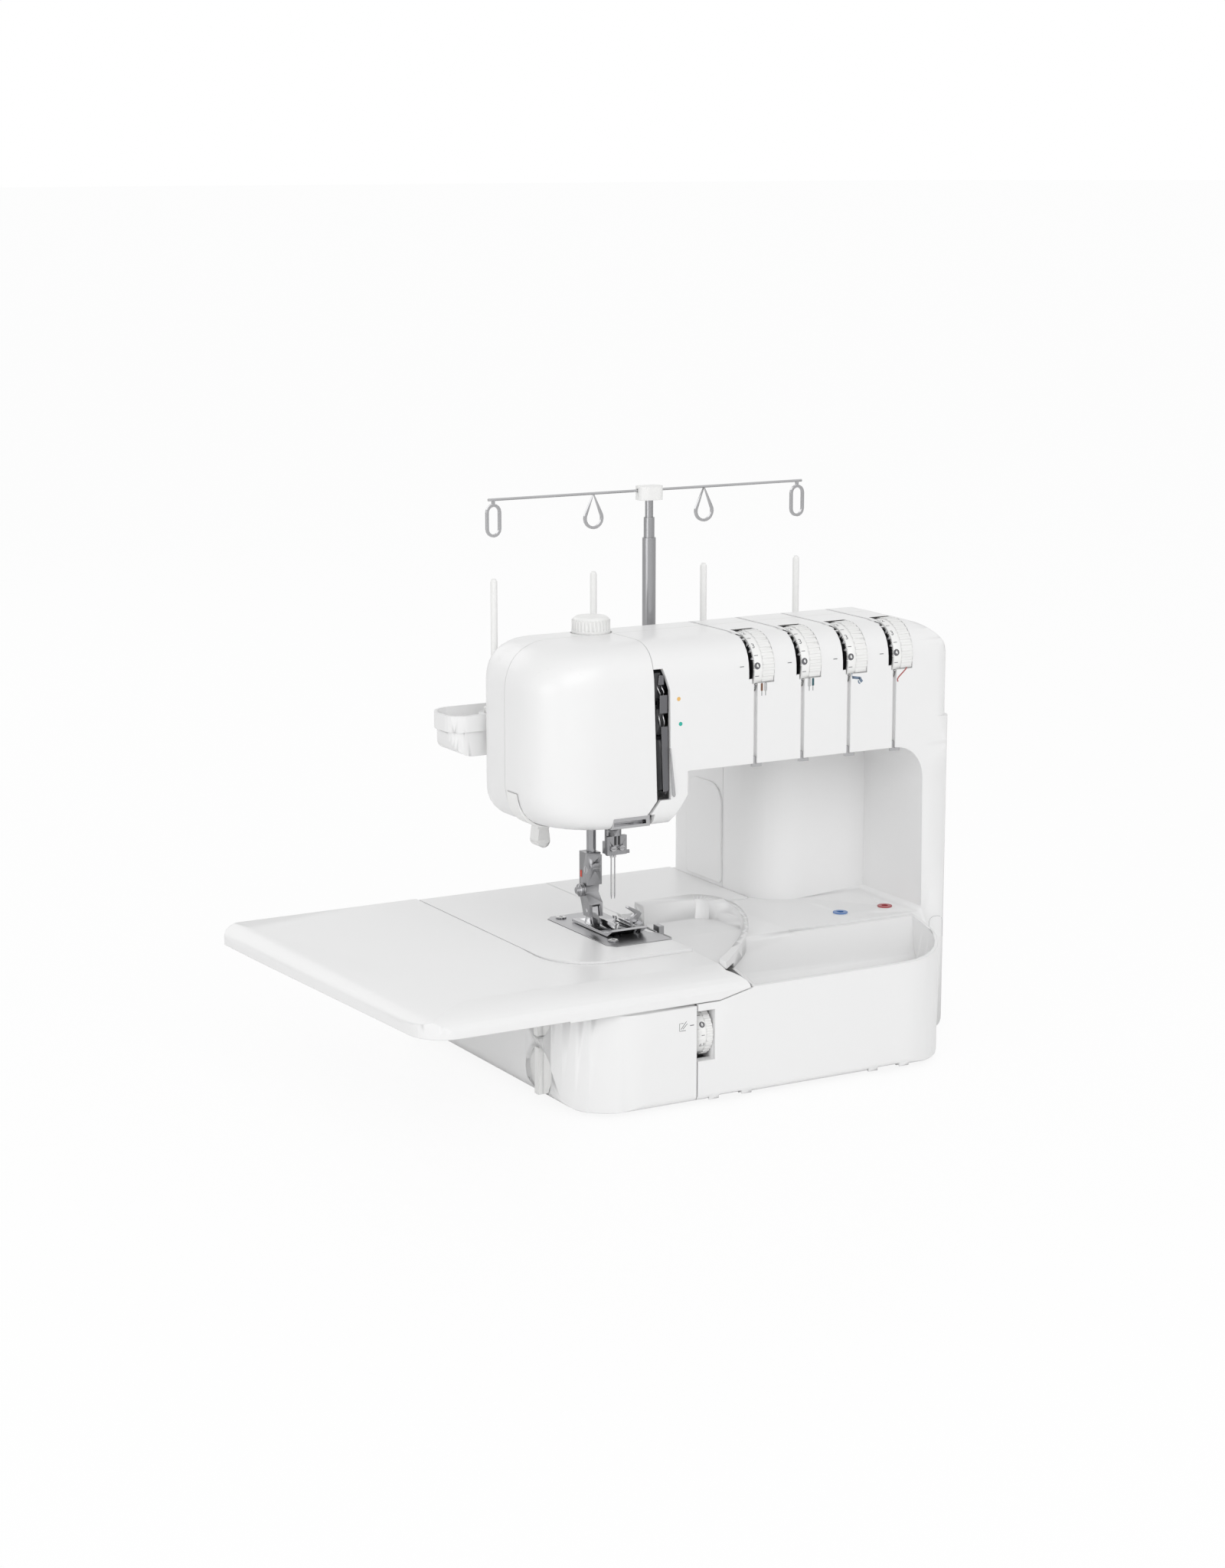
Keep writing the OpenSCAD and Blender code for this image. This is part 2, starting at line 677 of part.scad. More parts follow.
module needle_plate() color("silver") placed() difference() {
    union() {
        along_z(bed_z + 0.4 - plate_t, bed_z + 0.4) needle_plate_plan();
        // seats for the two screws
        for (p = plate_screws) bar_z(bed_z - bed_t, bed_z + 0.4 - plate_t, p[0], p[1], 9);
    }
    // slots of the feed dogs and of the needles
    for (x = feed_rows) box([x - 1.9, needle_y - 24, 0], [x + 1.9, needle_y + 24, far]);
    box([needle_x - 3.2, needle_y - 2, 0], [needle_x + 3.2, needle_y + 2, far]);
    for (p = plate_screws) bar_z(0, far, p[0], p[1], screw_d + 0.2);
}
screw_d = 4;
plate_screws = [[plate_x0 + 10, plate_y0 + 15], [plate_x0 + 10, plate_y1 - 7]];
feed_rows = [needle_x - 13, needle_x - 7.5, needle_x + 8.5];

// ---------- table ----------

// The slide-on table as a domed body drawn in by d
module table_form(d = 0) intersection() {
    along_x(-far, far) polygon(concat([[d, 0], [d, lip_z + 5.5]], roll(d, bed_y - 3 - d, lip_z + 5.5, bed_z - d),
                                      [[table_back - d, bed_z - d], [table_back - d, 0]]));
    along_z(0, far) polygon(concat(
        arc(table_left + table_lean + 27, 26, 26 - d, 185, 270),
        [[far, d], [far, table_back - d]], arc(table_left + 12, table_back - 12, 12 - d, 90, 180)));
    // left edge: rolls down along a line that leans inwards towards the front
    translate([table_left, back_y, 0])
        rotate([atan(8 / base_d), 0, atan(table_lean / base_d)])
            along_y(-far, far) polygon(concat([[d, 0], [d, lip_z + 13]],
                roll(d, 60, lip_z + 13, bed_z + 5 - d), [[far, bed_z + 5 - d], [far, 0]]));
}
module slide_on_table() color("white") placed() difference() {
    table_form();
    table_form(table_t);
    // lower edge
    box([-far, -1, 0], [far, far, lip_z]);
    translate([table_left - 5, back_y, 0]) rotate([atan(8 / base_d), 0, 0])
        box([-10, -far, 0], [140, far, lip_z + 9]);
    // cut-out that slides round the bed block
    along_z(0, far) polygon(concat(
        arc(bed_x + bed_r, bed_y + bed_r, bed_r + gap, 180, 270),
        [[far, bed_y - gap], [far, far], [bed_x - gap, far]]));
    // right end beside the looper cover
    along_z(0, far) polygon([[bed_right, bed_y + 1], [bed_right, 14], [bed_right + 9, 4], [bed_right + 13, -1],
                             [far, -1], [far, bed_y + 1]]);
    // its lip rises towards its right end, where it lies over the cover
    along_y(-1, bed_y + 1) polygon([[lip_x, -1], [lip_x, lip_z], [lip_end, cover_z], [far, cover_z], [far, -1]]);
}

lip_x = bed_right - 13;
lip_end = bed_right + 14;
// Height of the lip's lower edge over the cover at a place x
function lip_at(x) = lip_z + (cover_z - lip_z) * max(0, x - lip_x) / (lip_end - lip_x);

// ---------- looper cover ----------

// Height of the cover's top edge at a depth y
function rim_z(y) = cover_z + (ledge_z - cover_z) * y / ledge_y;

module cover_plan(d = 0) polygon(concat(
    [[cover_left - (d > 0 ? 1 : 0), d], [cover_left - (d > 0 ? 1 : 0), cover_back + (d > 0 ? 1 : 0)]],
    [[cover_right - d, cover_back + (d > 0 ? 1 : 0)]],
    arc(cover_right - base_r, base_r, base_r - d, 0, -90)));

// The cover's outer body with its rounded lower edge, drawn in by d
module cover_body(d = 0) intersection() {
    along_z(foot_h, far) cover_plan(d);
    along_x(-far, far) polygon(round_rect(d, foot_h + d, far, far, [edge_r - d, 1, 1, 1]));
    along_y(-1, far) polygon(round_rect(-far, foot_h + d, cover_right - d, far, [1, end_r - d, 1, 1]));
}

// Side profile of the tray, moved in by d from the outer skin
module tray_profile(d = 0) polygon(concat(
    [[cover_t, cover_z + 30], [cover_t, 66]],
    arc(22 + cover_t, 66, 22 + d, 180, 270, 8), arc(30, 78, 34 + d, -80, -12, 8),
    [[cover_back - 2 + d, cover_z + 30]]));

// Guard beside the needle plate: plan of its outer wall, drawn in by d
guard_left = bed_right + gap;
guard_back = ledge_back - 1.4;
module guard_plan(d = 0) polygon(concat(
    [[guard_left + (d > 0 ? -1 : 0), 14 + 2.2 * d], [guard_left + (d > 0 ? -1 : 0), plate_y0 + 24],
     [guard_left + 14, plate_y0 + 24], [guard_left + 14, guard_back - (d > 0 ? 14 : 0)]],
    arc(20, guard_back - 24, 24 - (d > 0 ? 14 : 0), 80, 10, 8),
    bow([45 - d, 134], [40 - d, 82], [guard_left + (d > 0 ? -1 : 0), 14 + 2.2 * d], 12)));

// Points on a curve from a towards b and round to c, without the last
function bow(a, b, c, n) = [for (i = [0:n - 1]) let (t = i / n)
    a * pow(1 - t, 2) + b * 2 * t * (1 - t) + c * pow(t, 2)];

module looper_cover() color("white") placed() difference() {
    union() {
        // skin: front, right end, sloping top edge
        intersection() {
            difference() {
                cover_body();
                cover_body(cover_t);
                along_z(0, foot_h + end_r) intersection() {
                    cover_plan(cover_t);
                    translate([cover_left - 2, edge_r]) square([cover_right - end_r - cover_left + 2, far]);
                }
            }
            along_x(-far, far) polygon([[-1, 0], [-1, rim_z(-1)], [cover_back, rim_z(cover_back)], [cover_back, 0]]);
            box([-far, -1, 0], [far, cover_back, far]);
        }
        // tray
        intersection() {
            along_x(tray_left - cover_t, far) difference() {
                tray_profile(cover_t);
                tray_profile();
            }
            along_z(0, far) cover_plan(0.3);
            along_x(-far, far) polygon([[-1, 0], [-1, rim_z(-1)], [cover_back, rim_z(cover_back)], [cover_back, 0]]);
        }
        // left end of the tray
        intersection() {
            along_x(tray_left - cover_t, tray_left) tray_profile(cover_t);
            along_x(-far, far) polygon([[-1, 0], [-1, rim_z(-1)], [cover_back, rim_z(cover_back)], [cover_back, 0]]);
        }
        // guard: floor, shelf and curved wall
        intersection() {
            along_z(ledge_z - 8, far) guard_plan();
            guard_heights();
        }
        // lip that lies over the ledge, from the guard's wall to the tray's back edge
        along_z(ledge_z + 0.4, ledge_z + 1.6) polygon(concat(
            [[12, cover_back - 4], [ledge_x + 3, cover_back - 4]],
            arc(ledge_x - 17, guard_back - 20, 20, 0, 90, 6), [[15, guard_back], [30, 120]]));
        box([12, cover_back - 4, ledge_z - 3], [ledge_x + 3, cover_back, ledge_z + 1.6]);
        // well round the cutting width dial
        box([cover_left + width_dial_w + 1.6, 1, width_dial_z - 19.5],
            [cover_left + width_dial_w + 3.1, 16, width_dial_z + 19.5]);
        for (z = [-19.5, 18]) box([cover_left + 0.5, 1, width_dial_z + z],
                                  [cover_left + width_dial_w + 3, 8, width_dial_z + z + 1.5]);
        // lugs on the hinge rod
        for (x = hinge_lugs) for (s = [-9.5 - cover_slide, 9.5])
            along_x(x + s, x + s + 8) polygon([[0.5, foot_h], [hinge_y, hinge_z - 4], [hinge_y + 4, hinge_z],
                                               [hinge_y, hinge_z + 4], [0.5, hinge_z + 8]]);
    }
    // hollow of the guard, its floor a little under the bed, and over the ledge on the lip
    difference() {
        along_z(ledge_z - 5, far) guard_plan(4);
        box([ledge_x - cover_slide - 4, cover_back, 0], [far, far, ledge_z + 1.6]);
    }
    // below the ledge's height the guard stays clear of the ledge
    box([ledge_x - cover_slide - 2, cover_back, 0], [far, far, ledge_z + 0.4]);
    // notch for the cutting width dial
    box([cover_left - 1, -1, width_dial_z - width_dial_r - 0.5],
        [cover_left + width_dial_w + 1.6, 40, width_dial_z + width_dial_r + 0.5]);
    // the left part passes under the table's lip
    along_y(-1, far) polygon([[cover_left - 1, lip_z - 0.8], [lip_x, lip_z - 0.8], [guard_left, lip_at(guard_left) - 0.8],
                              [guard_left, far], [cover_left - 1, far]]);
    along_y(-1, 34) polygon([[guard_left - 1, lip_at(guard_left - 1) - 0.8], [lip_end - 0.4, cover_z - 0.8],
                             [lip_end - 0.4, ledge_z - 4], [guard_left - 1, ledge_z - 4]]);
    for (x = hinge_lugs) bar_x(x - 20, x + 20, hinge_y, hinge_z, hinge_d + 2 * run);
    // notches in the lower edge, where the pan's lugs stand as the cover opens
    for (x = hinge_lugs) box([x - 1 - cover_slide, 0.9, 0], [x + 9, 30, 10]);
}
tray_left = bed_right + 17;
module guard_heights() along_x(-far, far)
    polygon([[14, ledge_z - 8], [14, bed_z], [guard_back, bed_z + 9], [guard_back, ledge_z - 8]]);

module cover_hinge_rod() color("silver") placed()
    bar_x(hinge_lugs[0] - 19, hinge_lugs[1] + 20, hinge_y, hinge_z, hinge_d);

// ---------- needles, foot and bars ----------

clamp_z = bed_z + needle_rise + 34;
module needle_bar() color("silver") placed()
    bar_z(clamp_z + 6, bar_guides[1] + 30, needle_x, needle_y, needle_bar_d);

module needle_clamp() color("silver") placed() difference() {
    union() {
        bar_z(clamp_z, clamp_z + 18, needle_x, needle_y, needle_bar_d + 5);
        box([needle_x - 6.5, needle_y - 5.5, clamp_z], [needle_x + 6.5, needle_y + 4, clamp_z + 9]);
        box([needle_x - 8, needle_y - 6.2, clamp_z], [needle_x + 8, needle_y - 3, clamp_z + 14]);
        // thread finger
        box([needle_x + 6, needle_y - 5, clamp_z], [needle_x + 11, needle_y - 3.6, clamp_z + 2.5]);
    }
    bar_z(clamp_z + 6, clamp_z + 20, needle_x, needle_y, needle_bar_d);
    for (s = [-1, 1]) {
        bar_z(clamp_z - 1, clamp_z + 6, needle_x + s * needle_pitch / 2, needle_y, 2.1);
        bar_y(needle_y - 7, needle_y - 1.6, needle_x + s * 3.6, clamp_z + 5, 2.4);
    }
}
module clamp_screws() color("gray") placed() for (s = [-1, 1]) {
    bar_y(needle_y - 6.3, needle_y - 1.6, needle_x + s * 3.6, clamp_z + 5, 2.4);
    difference() {
        bar_y(needle_y - 8.1, needle_y - 6.2, needle_x + s * 3.6, clamp_z + 5, 4.2);
        box([needle_x + s * 3.6 - 3, needle_y - 9, clamp_z + 4.7], [needle_x + s * 3.6 + 3, needle_y - 7.5, clamp_z + 5.3]);
    }
}
module needles() color("silver") placed() for (s = [-1, 1])
    translate([needle_x + s * needle_pitch / 2, needle_y, 0]) {
        bar_z(clamp_z - 3, clamp_z + 5.5, 0, 0, 2.1);
        bar_z(bed_z + needle_rise + 3, clamp_z - 3, 0, 0, 1.1);
        translate([0, 0, bed_z + needle_rise]) cylinder(h = 3, d1 = 0.3, d2 = 1.1, $fn = 24);
    }

foot_z = bed_z + 1;
ankle_z = foot_z + 13;
module presser_bar() color("silver") placed() {
    bar_z(foot_z + 42, bar_guides[1] + 24, presser_x, presser_y, presser_d);
    // collar that the lifter and the spring act on
    bar_z(lifter_z + 19, lifter_z + 27, presser_x, presser_y, presser_d + 7);
}
// Coil spring over the presser bar
module presser_spring() color("gray") placed()
    translate([presser_x, presser_y, lifter_z + 27.2]) coil(presser_d / 2 + 2, spring_turns, spring_len, 0.7);
spring_turns = 8;
spring_len = bar_guides[1] - lifter_z - 28.4;

// A round wire of radius w wound with radius r: turns rings over the height h
module coil(r, turns, h, w, steps = 16, sides = 6) {
    rings = turns * steps;
    points = [for (i = [0:rings]) for (k = [0:sides - 1])
        let (a = 360 * i / steps, b = 360 * k / sides, q = r + w * cos(b))
        [q * cos(a), q * sin(a), h * i / rings + w * sin(b) + w]];
    polyhedron(points, concat(
        [[for (k = [0:sides - 1]) k]], [[for (k = [sides - 1:-1:0]) rings * sides + k]],
        [for (i = [0:rings - 1]) for (k = [0:sides - 1]) let (n = (k + 1) % sides)
            each [[i * sides + k, (i + 1) * sides + k, (i + 1) * sides + n],
                  [i * sides + k, (i + 1) * sides + n, i * sides + n]]]));
}

// Ankle that carries the foot: an upright block, a clamp screw and a sprung hinge pin
module foot_holder() color("silver") placed() difference() {
    union() {
        box([presser_x - 6, presser_y - 5, foot_z + 32], [presser_x + 6, presser_y + 7, foot_z + 54]);
        along_x(presser_x - 6, presser_x + 5) polygon([
            [presser_y - 5, foot_z + 56], [presser_y + 7, foot_z + 56], [presser_y + 7, foot_z + 24],
            [presser_y + 1, ankle_z - 4], [presser_y - 8, ankle_z - 4], [presser_y - 8, ankle_z + 6],
            [presser_y - 2, foot_z + 26]]);
        bar_x(presser_x - 10, presser_x - 6, presser_y + 1, foot_z + 28, 8);
        bar_x(presser_x - 12, presser_x - 10, presser_y + 1, foot_z + 28, 5);
        for (k = [0:2]) bar_x(presser_x - 9.6 + k * 1.3, presser_x - 8.9 + k * 1.3, presser_y + 1, foot_z + 28, 9.4);
        bar_y(presser_y - 7.5, presser_y - 5, presser_x, foot_z + 46, 7);
    }
    bar_z(foot_z + 41, foot_z + 60, presser_x, presser_y, presser_d);
    box([presser_x - 4, presser_y - 8, foot_z + 45.6], [presser_x + 4, presser_y - 6.8, foot_z + 46.4]);
    bar_x(presser_x - 8, presser_x + 7, presser_y - 3.5, ankle_z, 3 + 2 * run);
    // slot for the foot's hinge pin lug
    box([presser_x - 3.6, presser_y - 9, ankle_z - 5], [presser_x + 2.6, presser_y + 4, ankle_z + 5]);
}

module presser_foot() color("silver") placed() difference() {
    union() {
        // sole with turned-up toes
        along_x(presser_x - 5, presser_x + 24)
            polygon([[presser_y + 20, foot_z], [presser_y - 32, foot_z], [presser_y - 40, foot_z + 5],
                     [presser_y - 39, foot_z + 6.4], [presser_y - 31, foot_z + 2], [presser_y + 20, foot_z + 2]]);
        // cheeks that hold the pin
        along_x(presser_x - 3.2, presser_x + 2.2) polygon([
            [presser_y - 9, foot_z + 1], [presser_y + 5, foot_z + 1], [presser_y - 1, ankle_z + 3],
            [presser_y - 6, ankle_z + 3]]);
        bar_x(presser_x - 6, presser_x + 6, presser_y - 3.5, ankle_z, 3);
        // side rib, guide hook and curled flap on the right
        box([presser_x + 3.5, presser_y - 28, foot_z + 1], [presser_x + 5.5, presser_y + 14, foot_z + 7]);
        along_y(presser_y - 22, presser_y - 4) difference() {
            polygon(arc(presser_x + 26, foot_z + 7, 6.4, 180, 330, 10));
            polygon(arc(presser_x + 26, foot_z + 7.6, 5, 180, 330, 10));
        }
        along_x(presser_x + 20, presser_x + 21.6) polygon(concat(arc(presser_y - 3, foot_z + 8, 8, -60, 130, 10),
            arc(presser_y - 3, foot_z + 8, 5, 130, -60, 10)));
    }
    // needle slot and the gap beside the stitch finger
    box([needle_x - 3.4, needle_y - 2.6, foot_z - 1], [needle_x + 3.4, needle_y + 2.6, foot_z + 12]);
    box([needle_x + 6, needle_y - 34, foot_z - 1], [needle_x + 8, needle_y + 8, foot_z + 3]);
    box([presser_x + 12, presser_y + 6, foot_z - 1], [presser_x + 30, presser_y + 30, foot_z + 3]);
}

// Presser lifter: a lever behind the head that swings about Y
module lifter_lever() color("white") placed() {
    bar_y(presser_y + 5, arm_back + 6, lifter_x, lifter_z, lifter_pin);
    bar_y(presser_y - 4, presser_y + 6, lifter_x + 2, lifter_z + 1, 18);
    hull() {
        bar_y(arm_back + 1.5, arm_back + 6, lifter_x, lifter_z, 14);
        bar_y(arm_back + 1.5, arm_back + 6, lifter_x + 2, lifter_z - 30, 10);
    }
    hull() {
        bar_y(arm_back + 1.5, arm_back + 14, lifter_x + 2, lifter_z - 34, 8);
        bar_y(arm_back + 1.5, arm_back + 14, lifter_x + 2, lifter_z - 42, 10);
    }
}

module pressure_knob() color("white") placed() {
    bar_z(top_z - 4.6, top_z + 2, presser_x, presser_y, 2 * pressure_r);
    bar_z(top_z + 1.9, top_z + 10, presser_x, presser_y, 2 * pressure_r - 2);
    for (a = [0:12:359]) translate([presser_x, presser_y, top_z + 2]) rotate([0, 0, a])
        box([pressure_r - 1.4, -0.8, 0], [pressure_r - 0.2, 0.8, 7]);
    translate([presser_x, presser_y, top_z + 10]) cylinder(h = 1.6, r1 = pressure_r - 1, r2 = pressure_r - 3);
    bar_z(bar_guides[1] + 36, top_z - 4, presser_x, presser_y, 8);
}

// ---------- feed, loopers and knives ----------

module feed_dogs() color("silver") placed() {
    for (x = feed_rows) along_x(x - 1.4, x + 1.4) polygon(concat(
        [[needle_y + 20, bed_z - 8], [needle_y - 20, bed_z - 8]],
        [for (k = [0:19]) each [[needle_y - 20 + 2 * k, bed_z - 0.4], [needle_y - 18.4 + 2 * k, bed_z + 0.3]]],
        [[needle_y + 20, bed_z - 0.4]]));
    box([feed_rows[0] - 1.4, needle_y - 20, bed_z - 12], [feed_rows[2] + 1.4, needle_y - 12, bed_z - 7]);
    box([feed_rows[0] - 1.4, needle_y + 12, bed_z - 12], [feed_rows[2] + 1.4, needle_y + 20, bed_z - 7]);
    // feed bar that reaches back to the eccentric on the main shaft
    box([feed_bar_x - 3, needle_y + 14, bed_z - 20], [feed_bar_x + 3, shaft_y - 16, bed_z - 8]);
    box([feed_bar_x - 3, shaft_y - 20, shaft_z - 6], [feed_bar_x + 3, shaft_y - 15, bed_z - 8]);
}
feed_bar_x = needle_x - 2;

// A looper arm in the plane of X and Z: a clamp on its shaft, a blade and a point
looper_pivot = [[-20, 34], [-12, 56]];
module lower_looper() color("silver") placed() difference() {
    union() {
        bar_y(needle_y + 4, needle_y + 14, looper_pivot[0][0], looper_pivot[0][1], 14);
        along_y(needle_y + 5, needle_y + 8) polygon(concat(
            [[looper_pivot[0][0] + 4, looper_pivot[0][1] + 3], [looper_pivot[0][0] - 4, 62]],
            arc(looper_pivot[0][0] - 14, 64, 13, -6, 90, 6), [[-52, 78], [-52, 75.4]],
            arc(looper_pivot[0][0] - 14, 64, 9, 90, -6, 6), [[looper_pivot[0][0] - 4, 34]]));
    }
    bar_y(needle_y + 3, needle_y + 15, looper_pivot[0][0], looper_pivot[0][1], 8 + 2 * run);
}
module upper_looper() color("silver") placed() difference() {
    union() {
        bar_y(needle_y - 17, needle_y - 7, looper_pivot[1][0], looper_pivot[1][1], 14);
        along_y(needle_y - 9, needle_y - 6.4) polygon(concat(
            arc(looper_pivot[1][0] - 4, looper_pivot[1][1] + 4, 24, 20, 100, 8),
            [[-32, 86.6], [-31, 82.4]], arc(looper_pivot[1][0] - 4, looper_pivot[1][1] + 4, 20.4, 100, 20, 8),
            [[looper_pivot[1][0] - 2, looper_pivot[1][1]], [looper_pivot[1][0] + 6, looper_pivot[1][1]]]));
    }
    bar_y(needle_y - 18, needle_y - 6, looper_pivot[1][0], looper_pivot[1][1], 8 + 2 * run);
}

knife_x = bed_right + 2;
module lower_knife() color("silver") placed()
    along_x(knife_x - 1.4, knife_x + 0.2) polygon([[needle_y - 14, bed_z + 0.2], [needle_y - 24, bed_z + 0.2],
        [needle_y - 24, bed_z - 34], [needle_y - 12, bed_z - 34]]);
module upper_knife() color("silver") placed() {
    along_x(knife_x + 0.6, knife_x + 2.4) polygon([[needle_y - 13, bed_z + 6], [needle_y - 24, bed_z + 3],
        [needle_y - 26, bed_z + 14], [needle_y - 13, bed_z + 18]]);
    along_x(knife_x + 0.6, knife_x + 6) polygon([[needle_y - 25, bed_z + 12], [needle_y - 13, bed_z + 12],
        [needle_y - 13, bed_z + 20], [needle_y - 25, bed_z + 20]]);
    // stem that slides at the frame's knife guide
    box([knife_x + 2.4, needle_y - 23, 12], [knife_x + 6.6, needle_y - 15, bed_z + 13]);
}

// ---------- thread path ----------

dial_band = 6.5;
module tension_dial(i) let (x = dial_at(i) - 4) color("white") placed() difference() {
    union() {
        bar_x(x, x + dial_band + 0.5, dial_y, dial_z, 2 * dial_r - 2);
        bar_x(x + dial_band, x + dial_w, dial_y, dial_z, 2 * dial_r - 1);
        // knurls
        for (a = [0:10:359]) translate([x + dial_band, dial_y, dial_z]) rotate([a, 0, 0])
            box([0, dial_r - 1.2, -0.9], [dial_w - dial_band, dial_r, 0.9]);
    }
    bar_x(x - 1, x + dial_w + 1, dial_y, dial_z, spindle_d + 2 * run);
    // hollow on the left, over the discs
    bar_x(x - 1, x + 3, dial_y, dial_z, 2 * dial_r - 8);
}
module tension_dial_1() tension_dial(0);
module tension_dial_2() tension_dial(1);
module tension_dial_3() tension_dial(2);
module tension_dial_4() tension_dial(3);

// Spindle and pair of discs of each dial
module tension_discs() color("silver") placed() for (i = [0:3]) let (x = dial_at(i)) {
    bar_x(x - 9, x + dial_w - 1, dial_y, dial_z, spindle_d);
    for (s = [-3.4, -2.2]) bar_x(x + s, x + s + 0.8, dial_y, dial_z, 24);
}

// Wire and plate guides: at the foot of each groove, and over the needle clamp
module thread_guides() color("silver") placed() {
    for (i = [0:3]) let (x = dial_at(i)) {
        box([x - 1.5 - groove_w, arm_front + 1.4, arm_under - 2.6], [x - 1.8, arm_front + 3.6, arm_under + 5]);
        box([x - 1.8, arm_front + 1.4, arm_under - 2.6], [x + 3.4, arm_front + 3.4, arm_under - 0.4]);
    }
    difference() {
        box([needle_x - 34, arm_front + 4, head_under + 1], [channel_x0 - 1, arm_front + 14, head_under + 9]);
        box([needle_x - 32, arm_front + 3, head_under + 3], [channel_x0 - 4, arm_front + 11, head_under + 6]);
    }
}

// Column of plates in the needle thread channel
module take_up_cover() color("dimgray") placed() difference() {
    union() {
        box([channel_x0, arm_front + 8, head_under + 24], [channel_x1 - seam, arm_front + 9.5, channel_top - 1]);
        for (p = [[0.4, 5.6, 92, 110], [2.5, 8.5, 66, 84], [3.5, 12, 26, 62]])
            box([channel_x0 + p[0] + 1, arm_front + 3, head_under + p[2]],
                [channel_x0 + p[1] + 1, arm_front + 8.1, head_under + p[3]]);
        // chrome blade at the right edge
        along_y(arm_front + 2, arm_front + 3.6) polygon([
            [channel_x1 - 3, head_under + 22], [channel_x1 - 0.6, head_under + 24], [channel_x1 - 0.6, head_under + 40],
            [channel_x1 - 4, head_under + 60], [channel_x1 - 5, head_under + 60], [channel_x1 - 3.4, head_under + 40]]);
        box([channel_x1 - 4.5, arm_front + 3, head_under + 24], [channel_x1 - 1, arm_front + 8.1, head_under + 30]);
    }
    box([channel_x0 + 4, arm_front + 7, head_under + 86], [channel_x0 + 7, arm_front + 10, head_under + 89]);
}
take_up_pivot = [arm_front + 46, 250];
take_up_stud = 6;
module take_up_lever() color("silver") placed() difference() {
    union() {
        bar_x(channel_x0 + 3, channel_x0 + 9, take_up_pivot[0], take_up_pivot[1], 14);
        along_x(channel_x0 + 4, channel_x0 + 6) polygon([
            [take_up_pivot[0] - 2, take_up_pivot[1] - 5], [take_up_pivot[0] + 2, take_up_pivot[1] + 5],
            [arm_front + 18, take_up_pivot[1] + 22], [arm_front + 17.5, take_up_pivot[1] + 15]]);
    }
    bar_x(channel_x0 + 2, channel_x0 + 10, take_up_pivot[0], take_up_pivot[1], take_up_stud + 2 * run);
}

module lamp_lens() color("lightyellow") placed()
    box(lamp_a, lamp_b);
lamp_a = [needle_x - 26, arm_front + 20, head_under - 0.6];
lamp_b = [channel_x0 - 7, arm_front + 34, head_under + 3];

// Crescent shaped thread cutter on the head's lower left corner
module thread_cutter() color("white") placed()
    along_y(split_y - 18, split_y - 3) polygon(concat(
        [for (a = [184:5.125:266]) let (r = 28 + 2.2 * sin(180 * (a - 184) / 82))
            [head_left + 28 + r * cos(a), head_under + 28 + r * sin(a)]],
        [for (a = [266:-5.125:184]) [head_left + 28 + 28 * cos(a), head_under + 28 + 28 * sin(a)]]));

// ---------- controls ----------

module side_knob(p) placed() {
    bar_x(left_x + 3, left_x + knob_t, p[0], p[1], 2 * knob_r);
    // grip across the face
    intersection() {
        bar_x(left_x - 1, left_x + knob_t, p[0], p[1], 2 * knob_r);
        box([left_x - 1, p[0] - 3, p[1] - knob_r], [left_x + 4, p[0] + 3, p[1] + knob_r]);
    }
    bar_x(left_x + knob_t, left_x + knob_t + 14, p[0], p[1], knob_shaft_d);
}
module differential_feed_knob() color("white") side_knob(side_knobs[0]);
module stitch_length_knob() color("white") side_knob(side_knobs[1]);

module cutting_width_dial() color("white") placed() {
    bar_x(cover_left, cover_left + width_dial_w, width_dial_y, width_dial_z, 2 * width_dial_r - 2);
    bar_x(cover_left + 7, cover_left + width_dial_w, width_dial_y, width_dial_z, 2 * width_dial_r - 1);
    for (a = [0:12:359]) translate([cover_left + 7, width_dial_y, width_dial_z]) rotate([a, 0, 0])
        box([0, width_dial_r - 1.2, -0.8], [width_dial_w - 7, width_dial_r, 0.8]);
    bar_x(cover_left - 14, cover_left + 1, width_dial_y, width_dial_z, knob_shaft_d);
}

ports = [[115, 97], [155, 97]];
port_d = 9;
module port_holes() for (p = ports) bar_z(ledge_z - wall - 1, ledge_z + 1, p[0], p[1], port_d);
module looper_port(p) placed() difference() {
    union() {
        bar_z(ledge_z, ledge_z + 0.8, p[0], p[1], port_d + 2);
        bar_z(ledge_z - wall - 2, ledge_z + 0.1, p[0], p[1], port_d);
    }
    bar_z(ledge_z - wall - 3, ledge_z + 2, p[0], p[1], port_d - 4);
}
module lower_looper_port() color("royalblue") looper_port(ports[0]);
module upper_looper_port() color("firebrick") looper_port(ports[1]);

// ---------- drive ----------

